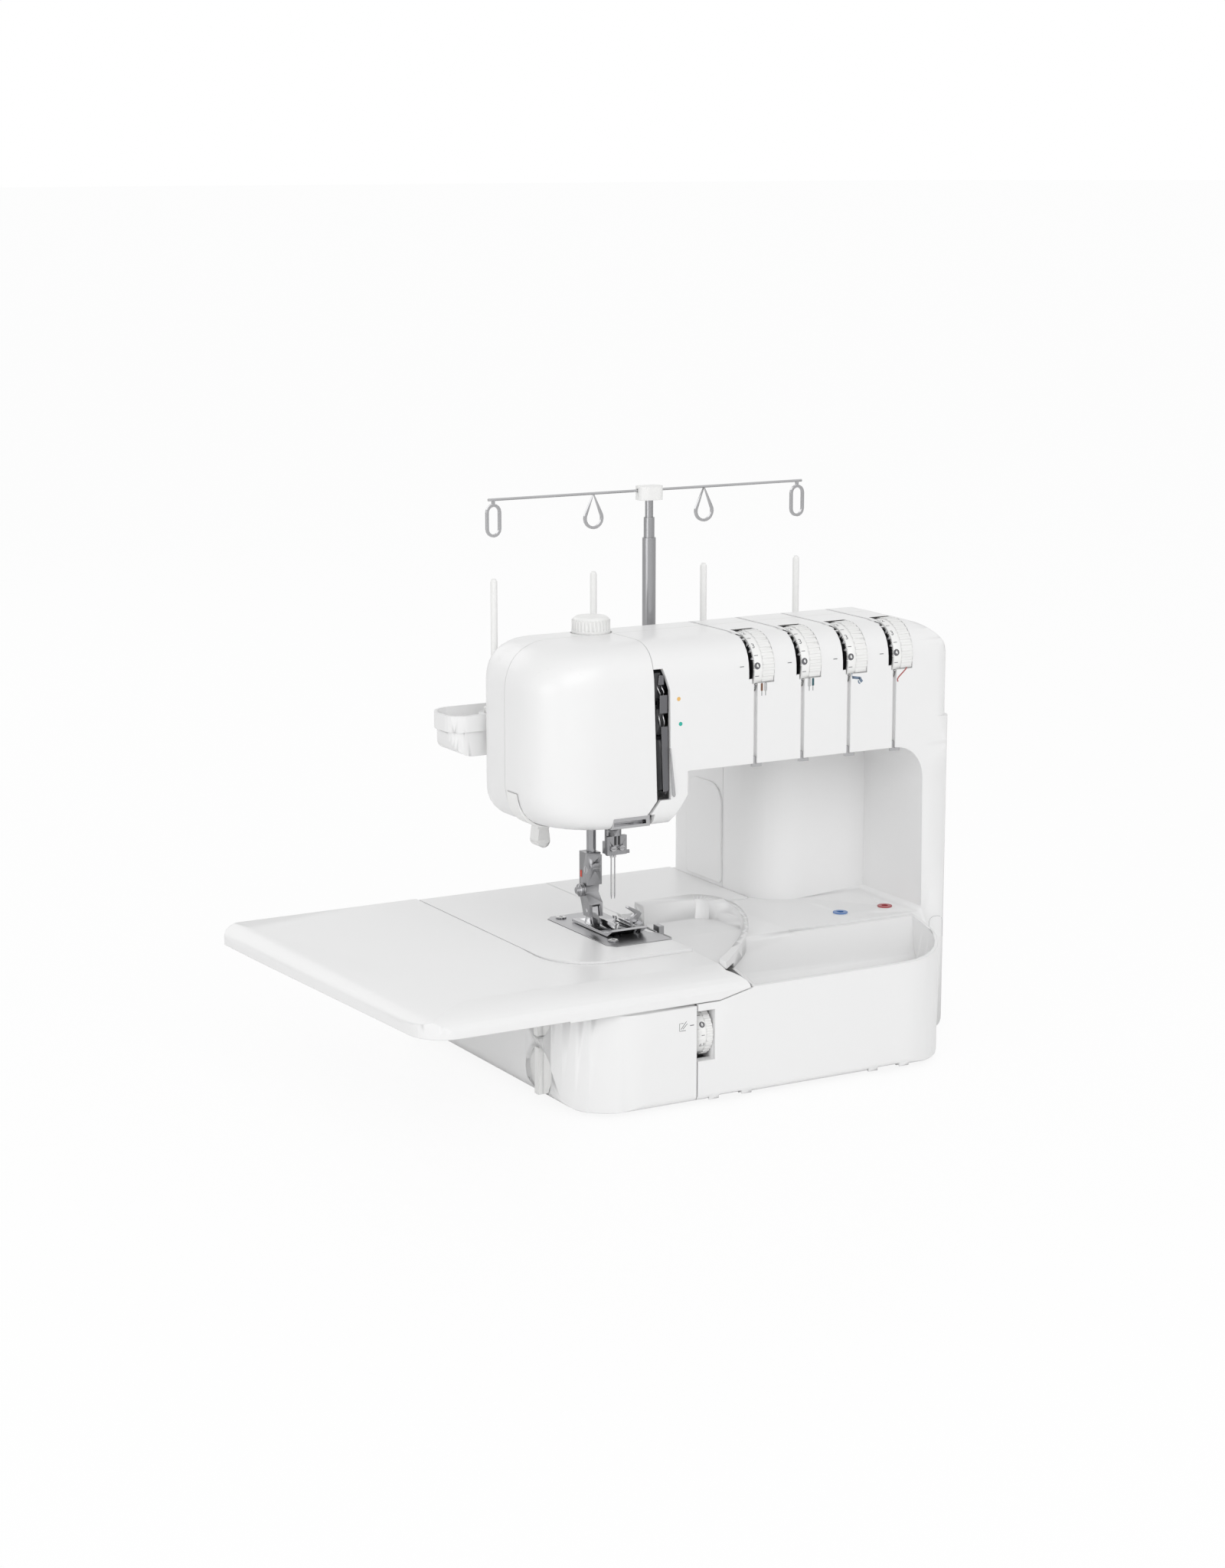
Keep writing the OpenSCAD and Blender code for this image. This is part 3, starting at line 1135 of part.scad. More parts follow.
module handwheel() color("white") placed() difference() {
    union() {
        translate([wheel_x, shaft_y, shaft_z]) rotate([0, 90, 0]) rotate([0, 0, 180]) rotate_extrude()
            polygon(concat([[0, 3], [wheel_r - 8, 0], [wheel_r, 1.5]], arc(wheel_r - 4, wheel_w - 4, 4, 0, 90),
                           [[wheel_r - 9, wheel_w - 1], [wheel_r - 12, wheel_w - 5], [12, wheel_w - 5],
                            [10, wheel_w - 3], [0, wheel_w - 3]]));
        // belt pulley behind the housing wall
        bar_x(pulley_x + 8, pulley_x + 8 + pulley_w, shaft_y, shaft_z, 2 * big_pulley_r);
        bar_x(pulley_x + 8, wheel_x + 4, shaft_y, shaft_z, shaft_d + 3);
    }
    bar_x(pulley_x, wheel_x + wheel_w + 1, shaft_y, shaft_z, shaft_d);
    // finger grooves round the rim
    for (a = [0:15:359]) translate([wheel_x, shaft_y, shaft_z]) rotate([a, 0, 0])
        bar_x(-1, wheel_w + 1, wheel_r + 1, 0, 5);
}
motor_d = 40;
motor_x = [96, pulley_x - 4];
module motor() color("gray") placed() {
    bar_x(motor_x[0], motor_x[1], motor_y, motor_z, motor_d);
    // end cap of the bearing, shaft, and foot on the base pan
    bar_x(motor_x[0] - 6, motor_x[0] + 1, motor_y, motor_z, 18);
    bar_x(motor_x[1] - 1, pulley_x + 9 + pulley_w, motor_y, motor_z, motor_shaft_d);
    box([motor_x[0] + 8, motor_y - 18, foot_h + 2.7], [motor_x[1] - 6, motor_y + 14, motor_z - 12]);
}
motor_shaft_d = 5;
module motor_pulley() color("darkgray") placed() difference() {
    union() {
        bar_x(pulley_x + 8, pulley_x + 8 + pulley_w, motor_y, motor_z, 2 * small_pulley_r);
        bar_x(pulley_x + 6.6, pulley_x + 8, motor_y, motor_z, 2 * small_pulley_r + 5);
    }
    bar_x(pulley_x, pulley_x + 30, motor_y, motor_z, motor_shaft_d + 2 * run);
}
// Toothed belt as two straight runs and two arcs round the pulleys
module belt_outline(d) hull() {
    translate([shaft_y, shaft_z]) circle(r = big_pulley_r + d);
    translate([motor_y, motor_z]) circle(r = small_pulley_r + d);
}
module drive_belt() color("black") placed() along_x(pulley_x + 9, pulley_x + 7 + pulley_w) difference() {
    belt_outline(0.3 + belt_t);
    belt_outline(0.3);
}

// Rocker on two pins behind the column's wall
module power_switch() color("dimgray") placed() {
    along_y(switch_y - 7, switch_y + 7) translate([column_right, switch_z])
        polygon([[-7, -5], [1.2, -5], [0, 0], [2.4, 5], [-7, 5]]);
    bar_y(switch_y - 9, switch_y + 9, switch_x, switch_z, 3);
}
switch_x = column_right - 6;
module power_inlet() color("dimgray") placed() difference() {
    box([column_right - 9.6, inlet_y - 13.6, inlet_z - 9.6], [column_right + 0.6, inlet_y + 13.6, inlet_z + 9.6]);
    box([column_right - 7, inlet_y - 11, inlet_z - 7], [column_right + 1, inlet_y + 11, inlet_z + 7]);
}

// Screws: two in the needle plate, six under the base, four in the arm's back
module machine_screws() color("gray") placed() {
    for (p = plate_screws) difference() {
        union() {
            bar_z(bed_z - 7, bed_z + 0.4, p[0], p[1], screw_d);
            bar_z(bed_z + 0.4, bed_z + 1.4, p[0], p[1], 8);
        }
        box([p[0] - 3, p[1] - 0.4, bed_z + 0.8], [p[0] + 3, p[1] + 0.4, bed_z + 2]);
    }
    for (p = arm_screws) union() {
        bar_y(arm_back - 1.2, arm_back + 0.6, p[0], p[1], 7);
        bar_y(arm_back - 7, arm_back - 1.1, p[0], p[1], screw_d);
    }
}

// ---------- spool stand ----------

tray_y0 = arm_back + 2;
arm_screws = [[head_left + 30, 203], [head_left + 30, top_z - 24], [30, top_z - 24], [column_right - 30, top_z - 24]];
module tray_plan(d = 0) polygon(round_rect(mast_x - tray_half + d, tray_y0 + d, mast_x + tray_half - d,
                                           tray_y0 + tray_d - d, inset([14, 14, 18, 18], d)));
module spool_tray() color("white") placed() difference() {
    union() {
        difference() {
            along_z(tray_z1 - 12, tray_z1) tray_plan();
            along_z(tray_z1 - 9, tray_z1 + 1) tray_plan(3);
        }
        // raised seats of the pins and the mast
        for (x = pin_places) bar_z(tray_z1 - 10, tray_z1 - 3, x, mast_y, 24);
        bar_z(tray_z1 - 10, tray_z1 + 2, mast_x, mast_y, 26);
    }
    for (x = pin_places) bar_z(tray_z1 - 13, tray_z1, x, mast_y, pin_d);
    bar_z(tray_z1 - 13, tray_z1 + 3, mast_x, mast_y, mast_d[0]);
}
pin_places = [for (s = [-pin_outer, -pin_inner, pin_inner, pin_outer]) mast_x + s];
// Lower shell of the tray, narrower towards its bottom, with two hooks to the arm
module spool_tray_shell() color("white") placed() {
    intersection() {
        along_z(tray_z0, tray_z1 - 12) tray_plan(2);
        along_y(0, far) polygon(round_rect(mast_x - tray_half + 2, tray_z0, mast_x + tray_half - 2, tray_z1,
                                           [16, 16, 1, 1]));
    }
    for (x = [mast_x - 60, mast_x + 60]) bar_y(arm_back - 2, tray_y0 + 3, x, tray_z0 + 12, 4);
    box([mast_x - 20, arm_back, tray_z0 + 2], [mast_x + 20, tray_y0 + 3, tray_z0 + 14]);
}
module spool_pins() color("white") placed() for (x = pin_places) translate([x, mast_y, 0]) {
    bar_z(tray_z1 - 12, pin_top - 2, 0, 0, pin_d);
    translate([0, 0, pin_top - 2]) cylinder(h = 2, d1 = pin_d, d2 = pin_d - 2);
    bar_z(tray_z1 - 3, tray_z1 + 1, 0, 0, 16);
}

// Telescopic mast: sections slide in each other
mast_d = [10, 8, 6];
mast_steps = [guide_z - 35, guide_z - 20];
module mast_outer_tube() color("silver") placed() difference() {
    bar_z(tray_z1 - 12, mast_steps[0], mast_x, mast_y, mast_d[0]);
    bar_z(tray_z1 - 10, mast_steps[0] + 1, mast_x, mast_y, mast_d[1] + 2 * run);
}
module mast_middle_tube() color("silver") placed() difference() {
    bar_z(tray_z1 - 8, mast_steps[1], mast_x, mast_y, mast_d[1]);
    bar_z(tray_z1 - 6, mast_steps[1] + 1, mast_x, mast_y, mast_d[2] + 2 * run);
}
module mast_rod() color("silver") placed()
    bar_z(tray_z1 - 4, guide_z - 5, mast_x, mast_y, mast_d[2]);
module mast_cap() color("white") placed() difference() {
    along_z(guide_z - 7, guide_z + 3) polygon(round_rect(mast_x - 10, mast_y - 7, mast_x + 10, mast_y + 7, [6, 6, 6, 6]));
    bar_z(guide_z - 8, guide_z - 5, mast_x, mast_y, mast_d[2]);
    for (s = [-1, 1]) bar_x(mast_x + s * 6 - 5, mast_x + s * 6 + 5, mast_y, guide_z, guide_wire);
}

// Wire bar with a long loop over each outer pin and a drop-shaped eye over each inner pin
module thread_guide_bar() color("silver") placed() for (s = [-1, 1]) {
    bar_x(mast_x + (s > 0 ? 1 : -pin_outer - 4), mast_x + (s > 0 ? pin_outer + 4 : -1), mast_y, guide_z, guide_wire);
    wire_ring(s * pin_outer, 8) {
        long_loop(guide_wire / 2);
        long_loop(-guide_wire / 2);
    }
    // the loop's neck
    box([mast_x + s * pin_outer - 1, mast_y - 1, guide_z - 4], [mast_x + s * pin_outer + 1, mast_y + 1, guide_z]);
    wire_ring(s * pin_inner, 14) {
        drop(7 + guide_wire / 2);
        drop(7 - guide_wire / 2);
    }
}
// A flat ring between the first and the second outline, hung by h under the bar
module wire_ring(x, h) translate([mast_x + x, mast_y, guide_z - h]) rotate([90, 0, 0])
    linear_extrude(guide_wire, center = true) difference() {
        children(0);
        children(1);
    }
// Outline of a slot 10 wide and 26 high, grown by d
module long_loop(d) polygon(concat(arc(0, -1, 5 + d, 0, 180), arc(0, -13, 5 + d, 180, 360)));
module drop(r) polygon(concat([[0, 14]], arc(0, -4, r, 150, 390, 14)));

base_housing();
base_pan();
rubber_feet();
machine_frame();
front_housing();
rear_housing();
head_cover();
column_side_cover();
bed_cover();
slide_on_table();
looper_cover();
cover_hinge_rod();
machine_screws();
needle_plate();
presser_bar();
presser_spring();
foot_holder();
presser_foot();
lifter_lever();
pressure_knob();
needle_bar();
needle_clamp();
needles();
clamp_screws();
feed_dogs();
upper_looper();
lower_looper();
upper_knife();
lower_knife();
tension_dial_1();
tension_dial_2();
tension_dial_3();
tension_dial_4();
tension_discs();
thread_guides();
take_up_cover();
take_up_lever();
lamp_lens();
thread_cutter();
cutting_width_dial();
stitch_length_knob();
differential_feed_knob();
lower_looper_port();
upper_looper_port();
main_shaft();
shaft_bushes();
motor();
motor_pulley();
drive_belt();
handwheel();
power_switch();
power_inlet();
spool_tray();
spool_tray_shell();
spool_pins();
mast_outer_tube();
mast_middle_tube();
mast_rod();
mast_cap();
thread_guide_bar();
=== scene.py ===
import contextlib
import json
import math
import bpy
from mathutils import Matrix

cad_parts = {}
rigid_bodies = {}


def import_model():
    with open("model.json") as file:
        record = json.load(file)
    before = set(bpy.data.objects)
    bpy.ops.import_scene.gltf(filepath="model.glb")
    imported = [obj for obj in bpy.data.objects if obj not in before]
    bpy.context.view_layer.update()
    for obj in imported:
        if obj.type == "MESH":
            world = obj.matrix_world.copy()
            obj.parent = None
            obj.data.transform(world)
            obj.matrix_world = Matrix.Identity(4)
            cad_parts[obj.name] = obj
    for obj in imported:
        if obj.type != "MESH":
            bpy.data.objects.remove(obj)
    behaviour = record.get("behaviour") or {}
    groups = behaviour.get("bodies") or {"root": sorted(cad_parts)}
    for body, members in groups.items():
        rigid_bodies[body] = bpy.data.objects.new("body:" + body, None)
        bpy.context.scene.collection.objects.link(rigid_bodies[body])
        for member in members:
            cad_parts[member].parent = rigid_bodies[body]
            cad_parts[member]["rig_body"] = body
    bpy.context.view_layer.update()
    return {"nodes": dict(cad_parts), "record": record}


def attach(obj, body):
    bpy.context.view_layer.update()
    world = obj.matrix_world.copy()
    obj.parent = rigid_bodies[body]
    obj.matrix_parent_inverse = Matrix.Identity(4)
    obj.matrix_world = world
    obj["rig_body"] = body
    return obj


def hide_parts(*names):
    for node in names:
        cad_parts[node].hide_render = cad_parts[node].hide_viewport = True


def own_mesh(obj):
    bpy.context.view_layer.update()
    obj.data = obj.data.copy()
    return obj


bl_info = {
    "name": "Overlock Sewing Machine",
    "version": (1, 0, 0),
    "blender": (4, 5, 0),
    "location": "View3D > Sidebar > Overlock",
    "description": "Dresses an overlock sewing machine: shells, dials, foot, loopers and spool stand",
    "category": "Add Mesh",
}

import bmesh
import bpy
import numpy as np
from mathutils import Matrix, Vector

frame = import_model()

# The machine is drawn in millimetres from the middle of the base's front edge;
# this is where that point lies in the frame, in metres.
FRONT_EDGE = Vector((0.041, -0.14375, 0.0))
# The tension dials, in those millimetres: their axis, the first one's left flank and their spacing.
DIAL_Y, DIAL_Z = 99, 289
DIAL_LEFT, DIAL_PITCH = 24, 40


def at(x, y, z):
    """A point given in millimetres from the middle of the base's front edge."""
    return Vector((x, y, z)) / 1000 + FRONT_EDGE


# ---------------------------------------------------------------- shader maths


class Wire:
    """A number that varies over a surface; Python's operators add Math nodes."""

    def __init__(self, paint, socket):
        self.paint = paint
        self.socket = socket

    def _math(self, operation, first, second):
        return self.paint.node("ShaderNodeMath", {"operation": operation}, {0: first, 1: second})

    def __add__(self, other):
        return self._math("ADD", self, other)

    def __radd__(self, other):
        return self._math("ADD", other, self)

    def __mul__(self, other):
        return self._math("MULTIPLY", self, other)


class Paint:
    """One material and the nodes that make its finish."""

    def __init__(self, name):
        self.material = bpy.data.materials.new(name)
        self.material.use_nodes = True
        self.tree = self.material.node_tree
        self.shader = self.tree.nodes["Principled BSDF"]
        self._place = None

    def node(self, kind, settings=None, inputs=None, output=0):
        made = self.tree.nodes.new(kind)
        for key, value in (settings or {}).items():
            setattr(made, key, value)
        for key, value in (inputs or {}).items():
            self.feed(made.inputs[key], value)
        return Wire(self, made.outputs[output])

    def feed(self, socket, value):
        if isinstance(value, Wire):
            self.tree.links.new(value.socket, socket)
        else:
            socket.default_value = value

    def set(self, **values):
        """Sets sockets of the shader: base_color, roughness, metallic and so on."""
        for key, value in values.items():
            self.feed(self.shader.inputs[key.replace("_", " ").title()], value)
        return self

    def place(self, stretch=(1, 1, 1)):
        """Object coordinates, stretched along the axes."""
        if self._place is None:
            self._place = self.node("ShaderNodeTexCoord", output="Object")
        if tuple(stretch) == (1, 1, 1):
            return self._place
        return self.node("ShaderNodeMapping", {}, {"Vector": self._place, "Scale": stretch})

    def noise(self, scale, detail, stretch=(1, 1, 1)):
        return self.node("ShaderNodeTexNoise", {}, {
            "Vector": self.place(stretch), "Scale": scale, "Detail": detail, "Roughness": 0.5})

    def mix(self, factor, first, second):
        """Between two colours."""
        made = self.tree.nodes.new("ShaderNodeMix")
        made.data_type = "RGBA"
        self.feed(made.inputs[0], factor)
        self.feed(made.inputs[6], first)
        self.feed(made.inputs[7], second)
        return Wire(self, made.outputs[2])

    def relief(self, height, depth, rounding=0.0):
        """Bump of a height, over edges that are rounded off by a radius."""
        inputs = {"Height": height, "Distance": depth, "Strength": 1.0}
        if rounding:
            inputs["Normal"] = self.node("ShaderNodeBevel", {"samples": 4}, {"Radius": rounding})
        self.set(normal=self.node("ShaderNodeBump", {}, inputs))
        return self


def rgb(value, factor=1.0, lighter=0.0):
    """A colour with its alpha, after a change of tone."""
    return (*(c * factor + lighter for c in value), 1.0)


def moulded(name, colour, roughness=0.3, rounding=0.0008, coat=0.15, tone=0.02):
    """Injection-moulded plastic: even colour, a fine spark-eroded texture, softened edges."""
    paint = Paint(name)
    drift = paint.noise(7.0, 2.0)
    speck = paint.noise(2600.0, 3.0)
    paint.set(base_color=paint.mix(drift, rgb(colour, 1 - tone), rgb(colour)),
              roughness=roughness - 0.03 + drift * 0.05 + speck * 0.03,
              metallic=0.0, coat_weight=coat, coat_roughness=0.12)
    paint.relief(speck, 0.00002, rounding)
    return paint.material


def steel(name, colour, roughness, stretch=(1, 1, 1), grain=0.00001):
    """Bare or plated steel with drawn or ground lines."""
    paint = Paint(name)
    lines = paint.noise(500.0, 4.0, stretch)
    cloud = paint.noise(60.0, 2.0)
    paint.set(base_color=paint.mix(cloud, rgb(colour, 0.9), rgb(colour)),
              roughness=roughness - 0.04 + lines * 0.08, metallic=1.0)
    paint.relief(lines, grain, 0.0004)
    return paint.material


def cast(name, colour):
    """Die-cast alloy: matt, with a coarse skin."""
    paint = Paint(name)
    skin = paint.noise(900.0, 4.0)
    cloud = paint.noise(30.0, 2.0)
    paint.set(base_color=paint.mix(cloud, rgb(colour, 0.85), rgb(colour)),
              roughness=0.42 + skin * 0.15, metallic=0.85)
    paint.relief(skin, 0.00006, 0.0008)
    return paint.material


def grained(name, colour, grain, shade, roughness, relief=None, lighter=0.0, metallic=0.0, **more):
    """A finish whose colour, sheen and relief all follow one grain, given as a scale and a detail."""
    paint = Paint(name)
    skin = paint.noise(*grain)
    level, spread = roughness
    paint.set(base_color=paint.mix(skin, rgb(colour, shade, lighter), rgb(colour)),
              roughness=level + skin * spread, metallic=metallic, **more)
    if relief:
        paint.relief(skin, *relief)
    return paint.material


def bronze(name, colour):
    """Sintered bronze: porous and oiled."""
    return grained(name, colour, (3000.0, 3.0), 0.7, (0.35, 0.2), (0.00003, 0.0003), metallic=0.9)


def rubber(name, colour):
    """Matt rubber."""
    return grained(name, colour, (1800.0, 3.0), 0.75, (0.75, 0.15), (0.00005, 0.0004))


def frosted(name, colour):
    """Frosted plastic window over the lamp."""
    return grained(name, colour, (700.0, 2.0), 0.92, (0.35, 0.1), (0.00005, 0.0003), coat_weight=0.3)


def printed(name, colour):
    """Pad-printed ink."""
    return grained(name, colour, (4000.0, 2.0), 0.9, (0.4, 0.1), lighter=0.01)


# ------------------------------------------------------------- sizes and colours


def length(label, text, value):
    return bpy.props.FloatProperty(name=label, description=text, default=value, unit="LENGTH", min=0.0)


def colour(label, text, value):
    return bpy.props.FloatVectorProperty(name=label, description=text, default=value, subtype="COLOR",
                                         min=0.0, max=1.0)


class MachineSizes(bpy.types.PropertyGroup):
    """Sizes of the fine detail that dresses the machine."""

    smooth_angle: bpy.props.FloatProperty(
        name="Smooth angle", description="Faces that meet at less than this are shaded as one",
        default=math.radians(28), unit="ROTATION", min=0.0, max=math.pi)
    click_teeth: bpy.props.IntProperty(
        name="Click teeth", description="Teeth of the click ring beside a tension dial",
        default=7, min=1, max=24)
    digit_height: length("Digit height", "Height of the numbers on the dials", 0.0042)


class MachineColours(bpy.types.PropertyGroup):
    """Colours of the machine's mouldings and markings."""

    shell: colour("Shell", "Colour of the moulded housings", (0.86, 0.86, 0.86))
    control: colour("Controls", "Colour of the dials, knobs and pins", (0.87, 0.87, 0.86))
    underside: colour("Underside", "Colour of the base pan", (0.6, 0.6, 0.6))
    dark: colour("Dark parts", "Colour of the thread channel, switch and inlet", (0.035, 0.035, 0.038))
    ink: colour("Ink", "Colour of the printed numbers and marks", (0.12, 0.12, 0.13))
    lower_port: colour("Lower looper port", "Colour of the lower looper's port", (0.09, 0.22, 0.52))
    upper_port: colour("Upper looper port", "Colour of the upper looper's port", (0.45, 0.06, 0.07))
    floor: colour("Floor", "Colour of the floor under the machine", (0.97, 0.97, 0.97))


def sizes():
    return bpy.context.scene.overlock_sizes


def colours():
    return bpy.context.scene.overlock_colours


FINISHES = {}


def finish(name):
    """A material by its name, made when it is first asked for."""
    if name not in FINISHES:
        c = colours()
        makers = {
            "shell": lambda: moulded("shell_white", c.shell),
            "control": lambda: moulded("control_white", c.control, 0.32, 0.0005, 0.1),
            "tray": lambda: moulded("tray_white", c.shell, 0.36, 0.0008, 0.08),
            "underside": lambda: moulded("pan_grey", c.underside, 0.5, 0.0006, 0.0),
            # the dark finish is also painted shade on the dials' flanks and in the needle clamp's openings
            "dark": lambda: moulded("channel_black_and_painted_shade", c.dark, 0.35, 0.0004, 0.1, 0.2),
            "motor": lambda: cast("motor_can", (0.2, 0.2, 0.21)),
            "satin": lambda: steel("satin_steel", (0.36, 0.36, 0.37), 0.3, stretch=(1, 0.06, 1)),
            "drawn": lambda: steel("drawn_steel", (0.38, 0.38, 0.39), 0.24, stretch=(1, 1, 0.05)),
            "bright": lambda: steel("bright_chrome", (0.5, 0.5, 0.51), 0.12, grain=0.000002),
            "ground": lambda: steel("ground_steel", (0.42, 0.42, 0.43), 0.3, stretch=(0.08, 1, 1)),
            "cast": lambda: cast("frame_alloy", (0.45, 0.46, 0.47)),
            "bronze": lambda: bronze("bush_bronze", (0.55, 0.36, 0.15)),
            "rubber": lambda: rubber("foot_rubber", (0.03, 0.03, 0.03)),
            "lens": lambda: frosted("lamp_window", (0.88, 0.88, 0.84)),
            "blue": lambda: moulded("lower_port_blue", c.lower_port, 0.3, 0.0003, 0.2, 0.1),
            "red": lambda: moulded("upper_port_red", c.upper_port, 0.3, 0.0003, 0.2, 0.1),
            # the grey ink is also painted shade in each screw's slot
            "ink": lambda: printed("print_grey_and_slot_shade", c.ink),
            "pale ink": lambda: printed("print_white", (0.88, 0.88, 0.88)),
            "faint ink": lambda: printed("print_pale_grey", (0.5, 0.5, 0.52)),
            "amber": lambda: printed("print_amber", (0.85, 0.5, 0.14)),
            "teal": lambda: printed("print_teal", (0.02, 0.45, 0.36)),
            "brown": lambda: printed("print_brown", (0.2, 0.1, 0.06)),
            "petrol": lambda: printed("print_petrol", (0.03, 0.1, 0.12)),
            "slate": lambda: printed("print_slate", (0.16, 0.22, 0.3)),
            "rust": lambda: printed("print_rust", (0.42, 0.12, 0.12)),
            "tooth": lambda: moulded("click_ring_grey", (0.5, 0.5, 0.51), 0.3, 0.0003, 0.1, 0.1),
            "signal red": lambda: printed("print_red", (0.7, 0.06, 0.03)),
            "plate": lambda: moulded("channel_grey", (0.13, 0.13, 0.14), 0.4, 0.0004, 0.1, 0.2),
        }
        FINISHES[name] = makers[name]()
    return FINISHES[name]


# ------------------------------------------------------------------ mesh helpers


def body_of(node):
    return frame["nodes"][node]["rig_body"]


def slot_of(node):
    for part in frame["record"]["subparts"]:
        if part["node"] == node:
            return part["material_slot"]
    raise ValueError("the record has no piece " + node)


def new_object(name, mesh):
    made = bpy.data.objects.new(name, mesh)
    bpy.context.scene.collection.objects.link(made)
    return made


def smooth(mesh):
    """Shades faces that meet at a small angle as one, and keeps flat faces flat."""
    mesh.polygons.foreach_set("use_smooth", [True] * len(mesh.polygons))
    mesh.set_sharp_from_angle(angle=sizes().smooth_angle)
    mesh.update()


def baked(made, *modifiers):
    """Applies modifiers, given as (type, settings), so that a plain mesh is left."""
    for kind, settings in modifiers:
        modifier = made.modifiers.new(kind.title(), kind)
        for key, value in settings.items():
            setattr(modifier, key, value)
    graph = bpy.context.evaluated_depsgraph_get()
    mesh = bpy.data.meshes.new_from_object(made.evaluated_get(graph), preserve_all_data_layers=True,
                                           depsgraph=graph)
    made.modifiers.clear()
    old = made.data
    made.data = mesh
    if old.users == 0:
        bpy.data.meshes.remove(old)
    return made


@contextlib.contextmanager
def editing(mesh):
    """Opens a mesh for work on its faces, and writes it back."""
    work = bmesh.new()
    work.from_mesh(mesh)
    yield work
    work.to_mesh(mesh)
    work.free()


def solid_copy(node):
    """A merged copy of a solid's mesh, ready for more work."""
    mesh = frame["nodes"][node].data.copy()
    mesh.materials.clear()
    with editing(mesh) as work:
        bmesh.ops.remove_doubles(work, verts=work.verts, dist=2e-6)
    return new_object(node + "_finished", mesh)


WEIGHTED = ("WEIGHTED_NORMAL", {"keep_sharp": True, "weight": 90})


def weighted(made):
    """Smooth curves, with the larger faces leading where they meet the smaller ones."""
    smooth(made.data)
    return baked(made, WEIGHTED)


def settle(made, node, material=None, replaces=False):
    """Gives a finished piece its material and the body of the solid that it belongs to; the solid's slot is
    looked up, but not given to the piece.
    """
    if material is not None:
        made.data.materials.clear()
        made.data.materials.append(finish(material))
    body, slot = body_of(node), slot_of(node)
    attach(made, body)
    if replaces:
        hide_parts(node)
    return made


def dress(node, material):
    """A solid's own shape with smooth curves and its finish."""
    return settle(weighted(solid_copy(node)), node, material, replaces=True)


def outward(mesh):
    """Turns the faces of a closed mesh to the outside."""
    with editing(mesh) as work:
        bmesh.ops.recalc_face_normals(work, faces=work.faces)
    mesh.update()


def mesh_from(name, points, faces):
    mesh = bpy.data.meshes.new(name)
    mesh.from_pydata([tuple(p) for p in points], [], faces)
    mesh.validate()
    return new_object(name, mesh)


def tube(name, path, radius, sides):
    """A round wire along points, in metres."""
    last = len(path) - 1
    points, faces = [], []
    up = None
    for i, p in enumerate(path):
        along = (path[min(i + 1, last)] - path[max(i - 1, 0)]).normalized()
        if up is None:
            up = along.orthogonal().normalized()
        up = (up - along * up.dot(along)).normalized()
        side = along.cross(up)
        for k in range(sides):
            angle = 2 * math.pi * k / sides
            points.append(p + (up * math.cos(angle) + side * math.sin(angle)) * radius)
            if i < last:
                n = (k + 1) % sides
                faces.append((i * sides + k, i * sides + n, (i + 1) * sides + n, (i + 1) * sides + k))
    faces.append(tuple(reversed(range(sides))))
    faces.append(tuple(last * sides + k for k in range(sides)))
    return mesh_from(name, points, faces)


# ------------------------------------------------------- soft corners of the arm


class ArmForm:
    """The moulded outer form of head and arm, in millimetres from the base's front edge."""

    low = np.array((-147.0, 75.0, 183.0))
    high = np.array((197.0, 172.0, 314.0))
    # radii of the edges along Y, X and Z, by the side of the low or the high face
    along_y = ((28.0, 32.0), (20.0, 42.0))
    along_x = ((12.0, 24.0), (10.0, 18.0))
    along_z = ((42.0, 14.0), (14.0, 24.0))
    wall = 3.0

    def radii(self, points):
        side = (points > (self.low + self.high) / 2).astype(int)
        return (np.array(self.along_y)[side[:, 0], side[:, 2]],
                np.array(self.along_x)[side[:, 1], side[:, 2]],
                np.array(self.along_z)[side[:, 0], side[:, 1]])

    def depth(self, points):
        """Distance of each point outside the faces, a column for each axis."""
        return np.maximum(self.low - points, points - self.high)

    def hard(self, points):
        """Distance outside the form whose edges are rounded one by one."""
        d = self.depth(points)
        levels = []
        for (a, b), r in zip(((0, 2), (1, 2), (0, 1)), self.radii(points)):
            q = d[:, [a, b]] + r[:, None]
            levels.append(np.minimum(q.max(axis=1), 0) + np.hypot(*np.maximum(q, 0).T) - r)
        return np.max(levels, axis=0)

    def soft(self, points):
        """The same form, with its rounded edges blended where they meet."""
        d = self.depth(points)
        across, side, plan = (1.17 * r for r in self.radii(points))
        ends = blend_max(d[:, 0], d[:, 1], plan)
        share = np.clip(0.5 + 0.5 * (d[:, 0] - d[:, 1]) / plan, 0, 1)
        return blend_max(ends, d[:, 2], share * across + (1 - share) * side)

    def outward(self, points):
        """Direction in which the blended form grows."""
        steps = [self.soft(points + e) - self.soft(points - e) for e in np.eye(3) * 0.05]
        grad = np.stack(steps, axis=1)
        return grad / np.maximum(np.linalg.norm(grad, axis=1, keepdims=True), 1e-9)

    def share(self, points, level):
        """How far a point belongs to the form: less near the column, not at all below or deep inside."""
        x, y, z = points.T
        near = np.clip((level + self.wall + 6) / 5, 0, 1) * np.clip((3 - level) / 2, 0, 1)
        left = np.clip((172 - x) / 20, 0, 1)
        inside = ((z > 214) | (x < -24)) & ~((x > 74) & (y > 150))
        return near * left * inside


def blend_max(a, b, width):
    """The larger of two numbers, with a smooth change from one to the other."""
    return np.maximum(a, b) + np.maximum(width - np.abs(a - b), 0) ** 2 / (4 * width)


